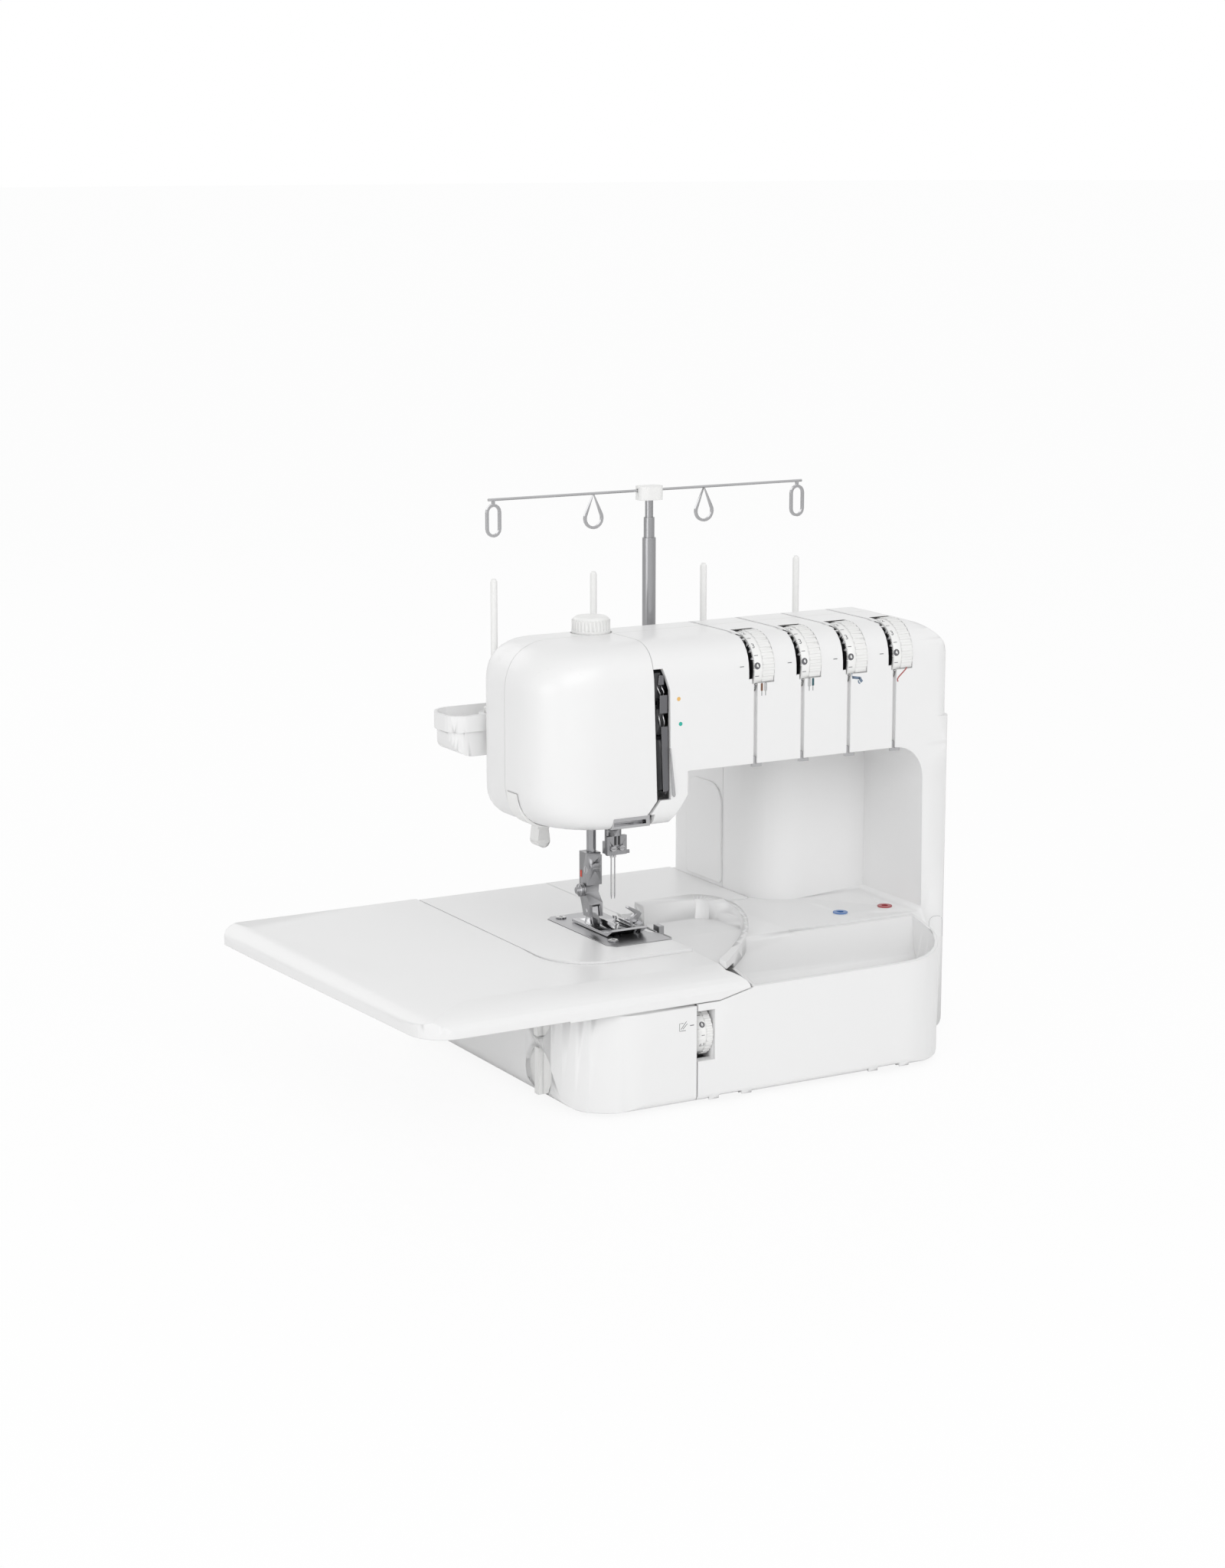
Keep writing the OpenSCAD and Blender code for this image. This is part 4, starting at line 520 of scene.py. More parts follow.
def soften(made):
    """Moves a housing's skin onto the blended form and gives it that form's shading."""
    form = ArmForm()
    mesh = made.data
    cuts = [(0, v) for v in (*range(-146, -58, 4), *range(-50, 175, 18))]
    cuts += [(1, v) for v in range(76, 174, 5)] + [(2, v) for v in range(184, 314, 5)]
    with editing(mesh) as work:
        for axis, value in cuts:
            point, normal = [0, 0, 0], [0, 0, 0]
            point[axis] = value / 1000 + FRONT_EDGE[axis]
            normal[axis] = 1
            # only what lies above the bed is cut
            upper = [f for f in work.faces if f.calc_center_median().z > 0.17]
            edges, corners = {e for f in upper for e in f.edges}, {v for f in upper for v in f.verts}
            geom = upper + list(edges) + list(corners)
            bmesh.ops.bisect_plane(work, geom=geom, plane_co=point, plane_no=normal, dist=1e-6)
    co = np.empty(len(mesh.vertices) * 3)
    mesh.vertices.foreach_get("co", co)
    points = (co.reshape(-1, 3) - np.array(FRONT_EDGE)) * 1000
    level = form.hard(points)
    share = form.share(points, level)
    for _ in range(4):
        points += form.outward(points) * ((level - form.soft(points)) * share)[:, None]
    co = points / 1000 + np.array(FRONT_EDGE)
    mesh.vertices.foreach_set("co", co.ravel())
    smooth(mesh)
    return points, share


def form_normals(made, points, share):
    """Corner normals: the blended form's where a face lies on it, else the face's own."""
    mesh = made.data
    form = ArmForm()
    way = form.outward(points)
    usual = [tuple(n.vector) for n in mesh.corner_normals]
    normals = []
    for face in mesh.polygons:
        for loop in face.loop_indices:
            v = mesh.loops[loop].vertex_index
            own = Vector(usual[loop])
            if share[v] > 0.02:
                new = Vector(way[v])
                turn = new.dot(face.normal)
                if abs(turn) > 0.93:
                    new = new if turn > 0 else -new
                    own = own.lerp(new, share[v]).normalized()
            normals.append(own)
    mesh.normals_split_custom_set(normals)


# --------------------------------------------------------------------- operators


class PieceOperator(bpy.types.Operator):
    """Shared parent of the operators that dress pieces."""

    bl_options = {"REGISTER", "UNDO"}
    pieces = {}

    def execute(self, context):
        for node, material in self.pieces.items():
            dress(node, material)
        return {"FINISHED"}


class OVERLOCK_OT_housings(PieceOperator):
    """Dress the arm, head, column and base mouldings"""

    bl_idname = "overlock.housings"
    bl_label = "Housings"
    pieces = {"base_housing": "shell", "column_side_cover": "shell", "bed_cover": "shell"}

    def execute(self, context):
        for node in ("front_housing", "rear_housing", "head_cover"):
            made = solid_copy(node)
            if node == "front_housing":
                self.widen_slots(made)
            points, share = soften(made)
            form_normals(made, points, share)
            settle(made, node, "shell", replaces=True)
        return super().execute(context)

    def widen_slots(self, made):
        """Opens the slot on the left of each dial, so that the dial's flank shows."""
        for i in range(4):
            left = DIAL_LEFT + DIAL_PITCH * i
            bpy.ops.mesh.primitive_cylinder_add(vertices=96, radius=0.0248, depth=0.004)
            cutter = bpy.context.object
            cutter.data.transform(Matrix.Translation(at(left - 2.7, DIAL_Y, DIAL_Z))
                                  @ Matrix.Rotation(math.pi / 2, 4, "Y"))
            baked(made, ("BOOLEAN", {"object": cutter, "operation": "DIFFERENCE", "solver": "EXACT"}))
            bpy.data.objects.remove(cutter)


class OVERLOCK_OT_table(PieceOperator):
    """Dress the slide-on table"""

    bl_idname = "overlock.table"
    bl_label = "Slide-on table"
    pieces = {"slide_on_table": "shell"}


class OVERLOCK_OT_looper_cover(PieceOperator):
    """Dress the looper cover with its tray and guard"""

    bl_idname = "overlock.looper_cover"
    bl_label = "Looper cover"
    pieces = {"looper_cover": "shell", "cover_hinge_rod": "drawn"}


class OVERLOCK_OT_underside(PieceOperator):
    """Dress the base pan, the feet and the screws"""

    bl_idname = "overlock.underside"
    bl_label = "Underside"
    pieces = {"base_pan": "underside", "rubber_feet": "rubber", "machine_screws": "bright"}


class OVERLOCK_OT_stitching(PieceOperator):
    """Dress the needle plate, needles, foot holder and feed dogs"""

    bl_idname = "overlock.stitching"
    bl_label = "Needles and foot"
    pieces = {"needle_plate": "ground", "presser_bar": "drawn", "foot_holder": "satin",
              "needle_bar": "drawn", "needle_clamp": "satin", "needles": "bright", "clamp_screws": "bright",
              "feed_dogs": "satin", "lifter_lever": "control", "pressure_knob": "control"}
    bar_lift = 0.006

    def execute(self, context):
        # the spring is dressed and given a mesh of its own
        spring = dress("presser_spring", "bright")
        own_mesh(spring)
        return super().execute(context)


class OVERLOCK_OT_loopers(PieceOperator):
    """Dress the loopers, the knives and the frame behind them"""

    bl_idname = "overlock.loopers"
    bl_label = "Loopers and knives"
    pieces = {"upper_looper": "bright", "lower_looper": "bright", "lower_knife": "ground",
              "machine_frame": "cast"}
    # just above the needle plate
    knife_top = 0.099

    def execute(self, context):
        knife = solid_copy("upper_knife")
        with editing(knife.data) as work:
            blade = work.verts[:] + work.edges[:] + work.faces[:]
            cut = bmesh.ops.bisect_plane(work, geom=blade, plane_co=(0, 0, self.knife_top),
                                         plane_no=(0, 0, 1), clear_outer=True)
            rim = [e for e in cut["geom_cut"] if isinstance(e, bmesh.types.BMEdge)]
            bmesh.ops.holes_fill(work, edges=rim)
        outward(knife.data)
        smooth(knife.data)
        settle(knife, "upper_knife", "ground", replaces=True)
        return super().execute(context)


class OVERLOCK_OT_thread_path(PieceOperator):
    """Dress the tension dials, discs, guides, take-up lever, lamp window and thread cutter"""

    bl_idname = "overlock.thread_path"
    bl_label = "Thread path"
    pieces = {"tension_discs": "bright", "thread_guides": "bright",
              "take_up_lever": "bright", "lamp_lens": "lens", "thread_cutter": "control"}

    def execute(self, context):
        for i in range(4):
            node, left = f"tension_dial_{i + 1}", DIAL_LEFT + DIAL_PITCH * i
            made = solid_copy(node)
            smooth(made.data)
            for name in ("control", "dark"):
                made.data.materials.append(finish(name))
            for face in made.data.polygons:
                x, y, z = (face.center - FRONT_EDGE) * 1000
                # painted shade: the flank inside the rim takes the dark finish, which stands in for the
                # shadow in the slot beside the dial
                if x < left + 3.2 and math.hypot(y - DIAL_Y, z - DIAL_Z) < 22.8:
                    face.material_index = 1
            baked(made, WEIGHTED)
            settle(made, node, replaces=True)
        return super().execute(context)


class OVERLOCK_OT_controls(PieceOperator):
    """Dress the cutting width dial, the side knobs and the looper ports"""

    bl_idname = "overlock.controls"
    bl_label = "Controls"
    pieces = {"cutting_width_dial": "control", "stitch_length_knob": "control",
              "differential_feed_knob": "control", "lower_looper_port": "blue", "upper_looper_port": "red"}


class OVERLOCK_OT_drive(PieceOperator):
    """Dress the handwheel, shaft, motor, belt, switch and inlet"""

    bl_idname = "overlock.drive"
    bl_label = "Drive"
    pieces = {"main_shaft": "drawn", "shaft_bushes": "bronze", "motor": "motor", "motor_pulley": "dark",
              "drive_belt": "rubber", "handwheel": "control", "power_switch": "dark", "power_inlet": "dark"}


class OVERLOCK_OT_spool_stand(PieceOperator):
    """Dress the spool tray, pins, mast and thread guide bar"""

    bl_idname = "overlock.spool_stand"
    bl_label = "Spool stand"
    pieces = {"spool_tray": "tray", "spool_tray_shell": "tray", "spool_pins": "control",
              "mast_outer_tube": "drawn", "mast_middle_tube": "drawn", "mast_rod": "drawn",
              "mast_cap": "control", "thread_guide_bar": "bright"}


# --------------------------------------------------------------------- markings


def number_mesh(text, height):
    """A number as a flat mesh round the origin, as tall as height."""
    curve = bpy.data.curves.new("number_" + text, "FONT")
    curve.body = text
    # the font's digits are 0.7 as high as its size
    curve.size = height / 0.7
    curve.align_x = "CENTER"
    curve.align_y = "CENTER"
    curve.resolution_u = 3
    made = bpy.data.objects.new("number_" + text, curve)
    bpy.context.scene.collection.objects.link(made)
    graph = bpy.context.evaluated_depsgraph_get()
    mesh = bpy.data.meshes.new_from_object(made.evaluated_get(graph))
    flat = [v.co.copy() for v in mesh.vertices]
    faces = [tuple(p.vertices) for p in mesh.polygons]
    bpy.data.objects.remove(made)
    bpy.data.curves.remove(curve)
    bpy.data.meshes.remove(mesh)
    return flat, faces


def disc(radius, count=28):
    turns = [2 * math.pi * i / count for i in range(count)]
    ring = [Vector((radius * math.cos(a), radius * math.sin(a), 0)) for a in turns]
    return ring, [tuple(range(count))]


def bar(width, height, u=0.0, v=0.0, rows=4):
    """An upright bar in rows, so that it can follow a curved skin."""
    points, faces = [], []
    for i in range(rows + 1):
        y = v - height / 2 + height * i / rows
        points += [Vector((u - width / 2, y, 0)), Vector((u + width / 2, y, 0))]
        if i:
            k = 2 * i
            faces.append((k - 2, k - 1, k + 1, k))
    return points, faces


def stroke(path, width):
    """A line of a given width along points."""
    points, faces = [], []
    for i, p in enumerate(path):
        a, b = Vector(path[max(i - 1, 0)]), Vector(path[min(i + 1, len(path) - 1)])
        side = Vector((a.y - b.y, b.x - a.x)).normalized() * width / 2
        points += [Vector((p[0] - side.x, p[1] - side.y, 0)), Vector((p[0] + side.x, p[1] + side.y, 0))]
        if i:
            k = 2 * i
            faces.append((k - 1, k - 2, k, k + 1))
    return points, faces


class Print:
    """Gathers flat marks that are printed on one piece in one ink."""

    def __init__(self, name):
        self.name = name
        self.points, self.faces = [], []

    def add(self, shape, place):
        """Adds a shape; place turns its flat (u, v) into millimetres on the machine."""
        flat, faces = shape
        start = len(self.points)
        self.points += [place(p.x, p.y) for p in flat]
        self.faces += [tuple(start + i for i in face) for face in faces]

    def made(self, node, material, towards):
        """The finished print, riding with the piece that it is printed on."""
        mesh = bpy.data.meshes.new(self.name)
        mesh.from_pydata([tuple(at(*p)) for p in self.points], [], self.faces)
        mesh.validate()
        towards = Vector(towards)
        for face in mesh.polygons:
            if face.normal.dot(towards) < 0:
                face.flip()
        mesh.update()
        return settle(new_object(self.name, mesh), node, material)


def on_arm(x, z, lift=0.05):
    """Places flat shapes on the arm's front, round a point given by x and z."""
    form = ArmForm()

    def place(u, v):
        p = np.array([[x + u, form.low[1], z + v]])
        for _ in range(4):
            p = p + form.outward(p) * (lift - form.soft(p))[:, None]
        return tuple(p[0])
    return place


def on_rim(x, y, z, radius, turn):
    """Places flat shapes on a rim round the X axis, at an angle up from the front."""
    def place(u, v):
        a = math.radians(turn) + v / radius
        return (x + u, y - radius * math.cos(a), z + radius * math.sin(a))
    return place


class OVERLOCK_OT_markings(bpy.types.Operator):
    """Print the numbers on the dials and the marks beside them"""

    bl_idname = "overlock.markings"
    bl_label = "Markings"

    def execute(self, context):
        for i in range(4):
            self.dial(i)
        self.width_dial()
        self.arm()
        self.column()
        self.metalwork()
        return {"FINISHED"}

    def dial(self, i):
        """Numbers and dashes round a tension dial; the one that is set stands on a dark spot."""
        node = f"tension_dial_{i + 1}"
        x = DIAL_LEFT + 2.2 + DIAL_PITCH * i
        rim, above = 24.08, 24.16
        size = sizes().digit_height * 1000
        ink, pale = Print(f"dial_numbers_{i + 1}"), Print(f"dial_number_pale_{i + 1}")
        for number in range(10):
            turn = 6.5 + 36 * (4 - number)
            place = on_rim(x, DIAL_Y, DIAL_Z, rim, turn)
            if number == 4:
                ink.add(disc(size * 0.6), place)
                pale.add(number_mesh("4", size * 0.62), on_rim(x, DIAL_Y, DIAL_Z, above, turn))
            else:
                ink.add(number_mesh(str(number), size * 0.95), place)
            ink.add(bar(3.2, 0.45, rows=1), on_rim(x, DIAL_Y, DIAL_Z, rim, turn + 18))
        ink.made(node, "ink", (0, -1, 0.3))
        pale.made(node, "pale ink", (0, -1, 0.3))

    def width_dial(self):
        """Numbers on the cutting width dial, and its index mark and small picture on the base."""
        axis, rim, above = (-62.6, 17, 50), 16.6, 16.68
        size = sizes().digit_height * 1000 * 0.85
        ink, pale = Print("width_numbers"), Print("width_number_pale")
        ink.add(disc(size * 0.62), on_rim(*axis, rim, 27))
        pale.add(number_mesh("6", size * 0.75), on_rim(*axis, above, 27))
        for turn, text in ((-25, "6.5"), (77, "5.5"), (-77, "7")):
            ink.add(number_mesh(text, size * 0.72), on_rim(*axis, rim, turn))
        for turn in (1, 52, -51):
            ink.add(bar(2.6, 0.4, rows=1), on_rim(*axis, rim, turn))
        ink.made("cutting_width_dial", "ink", (0, -1, 0))
        pale.made("cutting_width_dial", "pale ink", (0, -1, 0))
        dash = Print("width_index")

        def on_base(u, v):
            return (-72.0 + u, -0.06, 59.0 + v)
        dash.add(bar(3.2, 0.6, rows=1), on_base)
        dash.add(stroke([(-5.0, -3.0), (-10.0, -3.0), (-10.0, 2.4), (-7.0, 2.4)], 0.4), on_base)
        dash.add(stroke([(-8.8, -1.8), (-4.4, 3.4)], 0.4), on_base)
        dash.add(stroke([(-7.4, -1.8), (-3.8, 1.6)], 0.4), on_base)
        dash.made("base_housing", "ink", (0, -1, 0))

    def arm(self):
        """Index dashes, thread path dots and the small pictures below the dials."""
        ink = Print("arm_marks")
        for x, z in ((13.4, 292.1), (53.6, 291.8), (92.8, 291.3), (133.2, 291.8)):
            ink.add(bar(3.4, 0.5, rows=1), on_arm(x, z))
        needle_icons = {31.6: ("brown", -1.6), 72.0: ("petrol", 1.6)}
        for x, (tint, u) in needle_icons.items():
            place = on_arm(x, 274.6)
            for side in (-1.6, 1.6):
                ink.add(bar(0.5, 9.4, side), place)
            ink.add(stroke([(-u - 0.9, 4.4), (-u + 0.9, 4.4), (-u + 0.9, -1.2), (-u - 0.9, -1.2),
                            (-u - 0.9, 4.4)], 0.3), place)
            picture = Print("needle_picture_" + tint)
            picture.add(bar(1.9, 5.4, u, 1.6), on_arm(x, 274.6, 0.08))
            picture.made("front_housing", tint, (0, -1, 0))
        ink.made("front_housing", "ink", (0, -1, 0))
        lower, place = Print("lower_looper_picture"), on_arm(111.6, 275.2)
        lower.add(stroke([(-4.4, 4.6), (-4.2, 1.8), (-2.4, 0.8)], 0.5), place)
        lower.add(stroke([(-4.0, 1.4), (-1.6, 1.0), (0.6, 0.6), (2.6, 0.4)], 2.0), place)
        lower.add(stroke([(2.4, 0.8), (3.4, -1.2), (4.6, -2.6)], 2.2), place)
        lower.add(stroke([(1.2, -1.2), (1.8, -3.2), (3.0, -3.6)], 1.0), place)
        lower.made("front_housing", "slate", (0, -1, 0))
        upper = Print("upper_looper_picture")
        upper.add(stroke([(3.8, 5.0), (3.2, 3.8), (-3.2, -1.8), (-4.2, -3.2), (-4.0, -4.6),
                          (-3.4, -5.0)], 1.1), on_arm(151.6, 275.2))
        upper.made("front_housing", "rust", (0, -1, 0))
        for tint, x, z in (("amber", -39.0, 273.6), ("teal", -37.4, 255.6)):
            dot = Print(f"thread_dot_{tint}")
            dot.add(disc(1.5), on_arm(x, z))
            dot.made("front_housing", tint, (0, -1, 0))

    def column(self):
        """Thin outline at the foot of the column."""
        line = Print("column_outline")
        ledge = [(178.5, 72.55, 76.0), (178.5, 72.55, 85.6), (179.6, 72.55, 88.0), (182.0, 72.55, 89.2),
                 (186.0, 72.55, 89.2), (188.4, 72.6, 88.6), (190.0, 73.0, 87.2), (191.4, 73.8, 84.6),
                 (191.9, 74.2, 80.0), (192.3, 74.5, 72.0)]
        for a, b in zip(ledge, ledge[1:]):
            side = Vector((b[2] - a[2], 0, a[0] - b[0])).normalized() * 0.16
            start = len(line.points)
            for p, s in ((a, -1), (a, 1), (b, 1), (b, -1)):
                line.points.append((p[0] + s * side.x, p[1] - 0.12, p[2] + s * side.z))
            line.faces.append((start, start + 1, start + 2, start + 3))
        line.made("front_housing", "faint ink", (0, -1, 0))

    def metalwork(self):
        """Screw faces too fine for the solids, and painted shade in each screw's slot and the needle clamp's
        openings, on foot holder, needle clamp and plate.
        """
        def on_holder(u, v, lift=0.0):
            return (-76.06 - lift, 143.5 + u, 140.5 + v)

        def on_clamp(u, v):
            return (-57.0 + u, 130.7, 161.0 + v)

        heads, slot_shade = Print("holder_screw_face"), Print("holder_screw_slot_shade")
        heads.add(disc(2.7), on_holder)
        # painted shade: a dark bar where the screw's slot is a recess
        slot_shade.add(bar(0.6, 4.2, rows=1), lambda u, v: on_holder(u, v, 0.05))
        heads.made("foot_holder", "bright", (-1, 0, 0))
        slot_shade.made("foot_holder", "ink", (-1, 0, 0))
        window_shade, screws = Print("needle_clamp_window_shade"), Print("needle_clamp_screws")
        for u in (-1.5, 1.5):
            # painted shade: dark panels where the clamp is open
            window_shade.add(bar(1.9, 6.6, u, 1.6, rows=1), on_clamp)
            screws.add(disc(0.95, 14), lambda a, b, u=u: on_clamp(a + u, b - 3.6))
        window_shade.made("needle_clamp", "dark", (0, -1, 0))
        screws.made("needle_clamp", "bright", (0, -1, 0))
        faces, cross_slot_shade = Print("plate_screw_faces"), Print("plate_screw_slot_shade")
        for y in (103.0, 181.0):
            faces.add(disc(3.3), lambda u, v, y=y: (-76 + u, y + v, 97.47))
            # painted shade: a dark cross where the screw's slot is a recess
            for level, size in ((97.52, (3.6, 0.9)), (97.54, (0.9, 3.6))):
                cross_slot_shade.add(bar(*size, rows=1), lambda u, v, y=y, z=level: (-76 + u, y + v, z))
        faces.made("machine_screws", "control", (0, 0, 1))
        cross_slot_shade.made("machine_screws", "ink", (0, 0, 1))
        red = Print("holder_mark")
        red.add(bar(2.6, 5.0, rows=1), lambda u, v: (-76.08, 150.4 + u, 136.4 + v))
        red.made("foot_holder", "signal red", (-1, 0, 0))


def prism(name, outline, front, back, bevel=0.0):
    """A plate with an (x, z) outline in millimetres, between two depths; its second material is in front."""
    count = len(outline)
    points = [at(x, y, z) for y in (front, back) for x, z in outline]
    faces = [tuple(range(count)), tuple(reversed(range(count, 2 * count)))]
    faces += [(i, count + i, count + (i + 1) % count, (i + 1) % count) for i in range(count)]
    made = mesh_from(name, points, faces)
    made.data.polygons[0].material_index = 1
    outward(made.data)
    if bevel:
        baked(made, ("BEVEL", {"width": bevel / 1000, "segments": 2, "limit_method": "ANGLE"}))
    return made


class OVERLOCK_OT_channel(bpy.types.Operator):
    """Dress the needle thread channel with its plates, hooks and blade"""

    bl_idname = "overlock.channel"
    bl_label = "Thread channel"

    # outlines of the three plates, seen from the front
    plates = (((-55.0, 284.5), (-50.4, 284.5), (-50.4, 291.0), (-54.0, 291.6)),
              ((-53.6, 264.0), (-47.4, 264.0), (-47.4, 277.0), (-53.6, 277.0)),
              ((-50.6, 207.5), (-46.0, 208.2), (-46.8, 254.5), (-52.4, 254.5)))
    # hooks between the plates, as points (x, y, z)
    hooks = (((-54.4, 80, 285), (-54.8, 77.6, 282), (-53.6, 76.8, 279), (-52.2, 78.6, 276.5)),
             ((-51.2, 80, 285), (-51.4, 77.4, 282), (-50.4, 76.8, 279.5), (-49.6, 79, 276.5)),
             ((-52.6, 80, 264.5), (-53.8, 77.4, 261), (-53.4, 76.8, 258), (-52.0, 79, 254)),
             ((-49.6, 80, 264.5), (-50.4, 77.2, 261), (-49.8, 76.8, 258), (-49.0, 79, 254)))
    blade = ((-46.6, 239.0), (-45.6, 239.0), (-43.6, 222.0), (-41.6, 205.0), (-42.6, 203.4),
             (-44.4, 205.0), (-45.4, 222.0))

    def execute(self, context):
        node = "take_up_cover"
        made = solid_copy(node)
        smooth(made.data)
        settle(made, node, "dark", replaces=True)
        for k, outline in enumerate(self.plates):
            piece = prism(f"channel_plate_{k + 1}", outline, front=76.3, back=83.2, bevel=0.3)
            for name in ("bright", "plate"):
                piece.data.materials.append(finish(name))
            settle(piece, node)
        for k, path in enumerate(self.hooks):
            hook = tube(f"channel_hook_{k + 1}", [at(*p) for p in eased(path)], radius=0.0005, sides=8)
            smooth(hook.data)
            settle(hook, node, "bright")
        blade = prism("channel_blade", self.blade, front=74.1, back=74.8, bevel=0.2)
        settle(blade, node, "bright")
        return {"FINISHED"}


def eased(path, steps=5):
    """Points on a smooth curve through the points of a path."""
    ends = [Vector(p) for p in (path[0], *path, path[-1])]
    curve = []
    for a, b, c, d in zip(ends, ends[1:], ends[2:], ends[3:]):
        for k in range(steps):
            t = k / steps
            curve.append(0.5 * (2 * b + (c - a) * t + (2 * a - 5 * b + 4 * c - d) * t * t
                                + (3 * b - a - 3 * c + d) * t ** 3))
    return curve + [ends[-1]]


def ring_nodes():
    """A node group that repeats a piece in steps round the X axis."""
    tree = bpy.data.node_groups.new("overlock_ring", "GeometryNodeTree")
    for name, kind in (("Geometry", "Geometry"), ("Count", "Int"), ("Start", "Float"), ("Step", "Float"),
                       ("Material", "Material")):
        tree.interface.new_socket(name, in_out="INPUT", socket_type="NodeSocket" + kind)
    tree.interface.new_socket("Geometry", in_out="OUTPUT", socket_type="NodeSocketGeometry")
    made = {}
    kinds = {"given": "NodeGroupInput", "line": "GeometryNodeMeshLine", "index": "GeometryNodeInputIndex",
             "times": "ShaderNodeMath", "plus": "ShaderNodeMath", "turn": "ShaderNodeCombineXYZ",
             "instances": "GeometryNodeInstanceOnPoints", "real": "GeometryNodeRealizeInstances",
             "material": "GeometryNodeSetMaterial", "result": "NodeGroupOutput"}
    for name, kind in kinds.items():
        made[name] = tree.nodes.new(kind)
        made[name].name = made[name].label = name
    made["times"].operation, made["plus"].operation = "MULTIPLY", "ADD"
    made["line"].inputs["Offset"].default_value = (0, 0, 0)
    links = (("given", "Count", "line", "Count"), ("line", "Mesh", "instances", "Points"),
             ("given", "Geometry", "instances", "Instance"), ("index", 0, "times", 0),
             ("given", "Step", "times", 1), ("times", 0, "plus", 0), ("given", "Start", "plus", 1),
             ("plus", 0, "turn", 0), ("turn", 0, "instances", "Rotation"), ("instances", 0, "real", 0),
             ("real", 0, "material", "Geometry"), ("given", "Material", "material", "Material"),
             ("material", 0, "result", 0))
    for a, out, b, into in links:
        tree.links.new(made[a].outputs[out], made[b].inputs[into])
    return tree


def ring_of(made, **inputs):
    """Turns one piece into a ring of them; the inputs are the node group's, by name."""
    tree = bpy.data.node_groups.get("overlock_ring") or ring_nodes()
    modifier = made.modifiers.new("Ring", "NODES")
    modifier.node_group = tree
    keys = {s.name: s.identifier for s in tree.interface.items_tree if s.in_out == "INPUT"}
    for name, value in inputs.items():
        modifier[keys[name]] = value
    return baked(made)


class OVERLOCK_OT_click_rings(bpy.types.Operator):
    """Add the toothed click ring on the left flank of each tension dial"""

    bl_idname = "overlock.click_rings"
    bl_label = "Click rings"

    def execute(self, context):
        inner, outer, deep = 20.4, 22.7, 0.9
        start, step = math.radians(-20), math.radians(-15)
        profile = ((-0.9, outer), (0.9, outer), (0.5, inner), (-0.3, inner))
        points = [Vector((x, -r, u)) / 1000 for x in (-deep, 0.0) for u, r in profile]
        faces = [(0, 1, 2, 3), (7, 6, 5, 4), (0, 4, 5, 1), (1, 5, 6, 2), (2, 6, 7, 3), (3, 7, 4, 0)]
        for i in range(4):
            tooth = mesh_from(f"click_ring_{i + 1}", points, faces)
            ring_of(tooth, Count=sizes().click_teeth, Start=start, Step=step, Material=finish("tooth"))
            tooth.data.transform(Matrix.Translation(at(DIAL_LEFT + DIAL_PITCH * i, DIAL_Y, DIAL_Z)))
            outward(tooth.data)
            settle(tooth, f"tension_dial_{i + 1}")
        return {"FINISHED"}


class OVERLOCK_OT_foot_finger(bpy.types.Operator):
    """Dress the presser foot and the bent finger that holds the cloth edge beside the needles"""

    bl_idname = "overlock.foot_finger"
    bl_label = "Foot finger"

    outline = ((-47.4, 100.0), (-41.5, 100.0), (-37.8, 104.2), (-36.6, 106.0), (-38.4, 108.0),
               (-47.6, 112.6), (-48.8, 111.2), (-41.6, 106.4), (-44.4, 104.2), (-47.4, 103.4))
    # the space that the finger takes from the foot's solid
    room = ((-50.6, 102.0), (-47.4, 102.0), (-47.4, 118.0), (-50.6, 118.0))

    def execute(self, context):
        node = "presser_foot"
        foot = solid_copy(node)
        room = prism("foot_room", self.room, front=132.0, back=156.0)
        baked(foot, ("BOOLEAN", {"object": room, "operation": "DIFFERENCE", "solver": "EXACT"}))
        bpy.data.objects.remove(room)
        settle(weighted(foot), node, "bright", replaces=True)
        finger = prism("foot_finger", self.outline, front=130.0, back=134.0, bevel=0.4)
        settle(finger, node, "ground")
        return {"FINISHED"}


# light of the surroundings on the machine, and lamps by name, place, size in metres and watts
AMBIENT = 0.68
LAMPS = [
    ("key", (-0.5, -2.5, 1.6), (2.8, 1.8), 25.0),
    ("fill", (-2.6, -0.9, 0.3), (1.8, 1.2), 12.0),
    ("top", (0.0, -0.8, 2.4), (2.0, 2.0), 2.0),
    ("back", (-0.6, 2.2, 1.4), (1.6, 1.2), 5.0),
]
LAMP_AIM = Vector((0.0, 0.0, 0.15))
# share of plain white in the floor, where the camera sees it
FLOOR_WHITE = 0.9
# camera in millimetres from the base's front edge, lens in millimetres, angles in degrees
CAMERA_PLACE, CAMERA_LENS = (-1148.4, -1782.0, 660.0), 71.69
CAMERA_DOWN, CAMERA_TURN = 11.69, -29.62


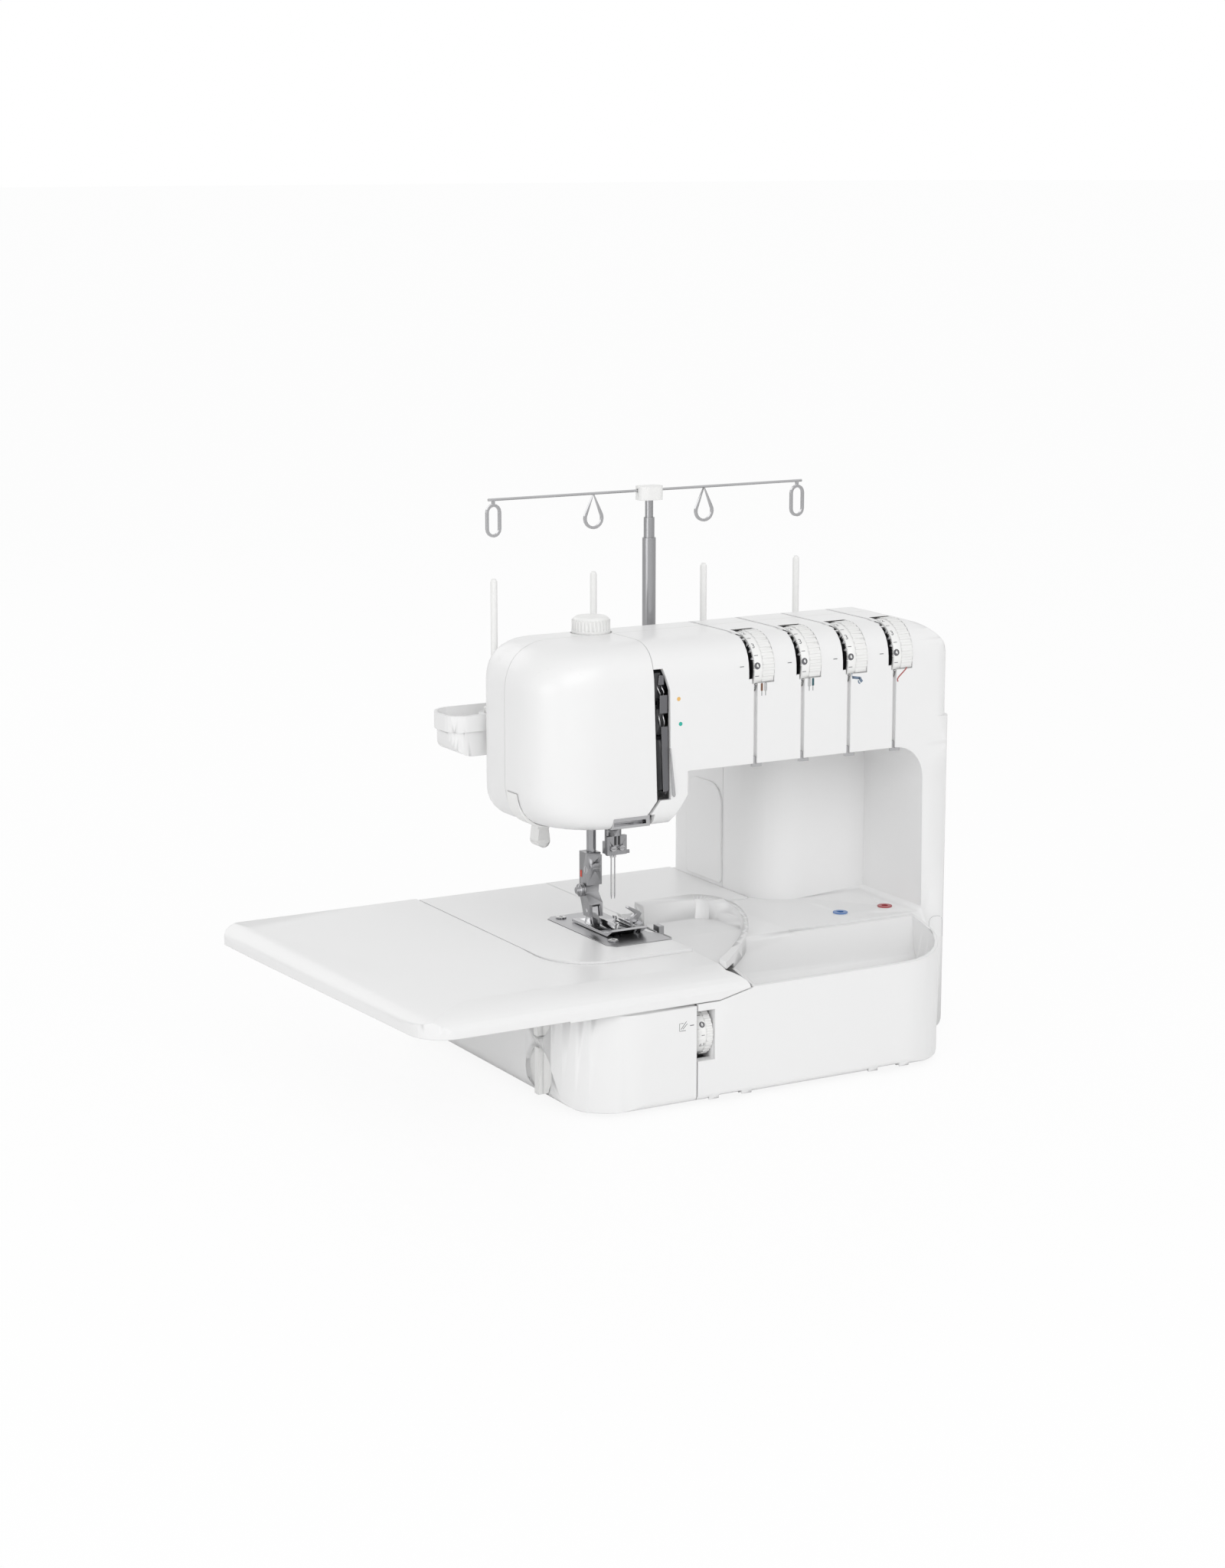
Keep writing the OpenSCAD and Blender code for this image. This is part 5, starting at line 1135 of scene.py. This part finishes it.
class OVERLOCK_OT_stage(bpy.types.Operator):
    """Make the floor, the lamps and the camera"""

    bl_idname = "overlock.stage"
    bl_label = "Stage"

    def execute(self, context):
        scene = context.scene
        # a wide floor that shows white where the camera sees it, but keeps shadows
        floor = mesh_from("floor", [(-40, -40, 0), (40, -40, 0), (40, 40, 0), (-40, 40, 0)], [(0, 1, 2, 3)])
        paint = Paint("studio_floor")
        paint.set(base_color=rgb(colours().floor), roughness=0.35, metallic=0.0)
        tree = paint.tree
        white = tree.nodes.new("ShaderNodeEmission")
        white.inputs["Color"].default_value = (1, 1, 1, 1)
        white.inputs["Strength"].default_value = 1.0
        rays = tree.nodes.new("ShaderNodeLightPath")
        seen = Wire(paint, rays.outputs["Is Camera Ray"]) * FLOOR_WHITE
        mix = tree.nodes.new("ShaderNodeMixShader")
        tree.links.new(seen.socket, mix.inputs[0])
        tree.links.new(paint.shader.outputs[0], mix.inputs[1])
        tree.links.new(white.outputs[0], mix.inputs[2])
        tree.links.new(mix.outputs[0], tree.nodes["Material Output"].inputs["Surface"])
        floor.data.materials.append(paint.material)

        world = bpy.data.worlds.new("studio")
        scene.world = world
        world.use_nodes = True
        nodes, links = world.node_tree.nodes, world.node_tree.links
        background = nodes["Background"]
        background.inputs["Color"].default_value = (1, 1, 1, 1)
        rays = nodes.new("ShaderNodeLightPath")
        direct = rays.outputs["Is Camera Ray"]
        for kind in ("Is Glossy Ray", "Is Transmission Ray"):
            either = nodes.new("ShaderNodeMath")
            either.operation = "MAXIMUM"
            links.new(direct, either.inputs[0])
            links.new(rays.outputs[kind], either.inputs[1])
            direct = either.outputs[0]
        strength = nodes.new("ShaderNodeMath")
        strength.operation = "MULTIPLY_ADD"
        links.new(direct, strength.inputs[0])
        strength.inputs[1].default_value = 1.0 - AMBIENT
        strength.inputs[2].default_value = AMBIENT
        links.new(strength.outputs[0], background.inputs["Strength"])

        for name, place, size, power in LAMPS:
            light = bpy.data.lights.new(name, "AREA")
            light.shape = "RECTANGLE"
            light.size, light.size_y = size
            light.energy = power
            lamp = bpy.data.objects.new(name, light)
            scene.collection.objects.link(lamp)
            lamp.location = place
            lamp.rotation_euler = (LAMP_AIM - Vector(place)).to_track_quat("-Z", "Y").to_euler()

        camera = bpy.data.objects.new("camera", bpy.data.cameras.new("camera"))
        scene.collection.objects.link(camera)
        camera.data.lens = CAMERA_LENS
        camera.data.sensor_width = 36.0
        camera.data.sensor_fit = "AUTO"
        camera.data.clip_end = 50.0
        camera.location = at(*CAMERA_PLACE)
        camera.rotation_euler = (math.radians(90 - CAMERA_DOWN), 0.0, math.radians(CAMERA_TURN))
        scene.camera = camera
        scene.view_settings.view_transform = "Standard"
        return {"FINISHED"}


class OVERLOCK_PT_panel(bpy.types.Panel):
    """Lists the machine's pieces and sizes"""

    bl_idname = "OVERLOCK_PT_panel"
    bl_label = "Overlock machine"
    bl_space_type = "VIEW_3D"
    bl_region_type = "UI"
    bl_category = "Overlock"

    def draw(self, context):
        for kind in STEPS:
            self.layout.operator(kind.bl_idname)
        for group in (context.scene.overlock_sizes, context.scene.overlock_colours):
            box = self.layout.box()
            for name in group.__annotations__:
                box.prop(group, name)


STEPS = [OVERLOCK_OT_stage, OVERLOCK_OT_housings, OVERLOCK_OT_table, OVERLOCK_OT_looper_cover,
         OVERLOCK_OT_underside, OVERLOCK_OT_stitching, OVERLOCK_OT_loopers, OVERLOCK_OT_thread_path,
         OVERLOCK_OT_controls, OVERLOCK_OT_drive, OVERLOCK_OT_spool_stand, OVERLOCK_OT_channel,
         OVERLOCK_OT_markings, OVERLOCK_OT_click_rings, OVERLOCK_OT_foot_finger]
CLASSES = [MachineSizes, MachineColours, *STEPS, OVERLOCK_PT_panel]


def register():
    for kind in CLASSES:
        bpy.utils.register_class(kind)
    bpy.types.Scene.overlock_sizes = bpy.props.PointerProperty(type=MachineSizes)
    bpy.types.Scene.overlock_colours = bpy.props.PointerProperty(type=MachineColours)


def unregister():
    del bpy.types.Scene.overlock_colours
    del bpy.types.Scene.overlock_sizes
    for kind in reversed(CLASSES):
        bpy.utils.unregister_class(kind)


def main():
    register()
    for kind in STEPS:
        area, name = kind.bl_idname.split(".")
        getattr(getattr(bpy.ops, area), name)()


if __name__ == "__main__":
    main()
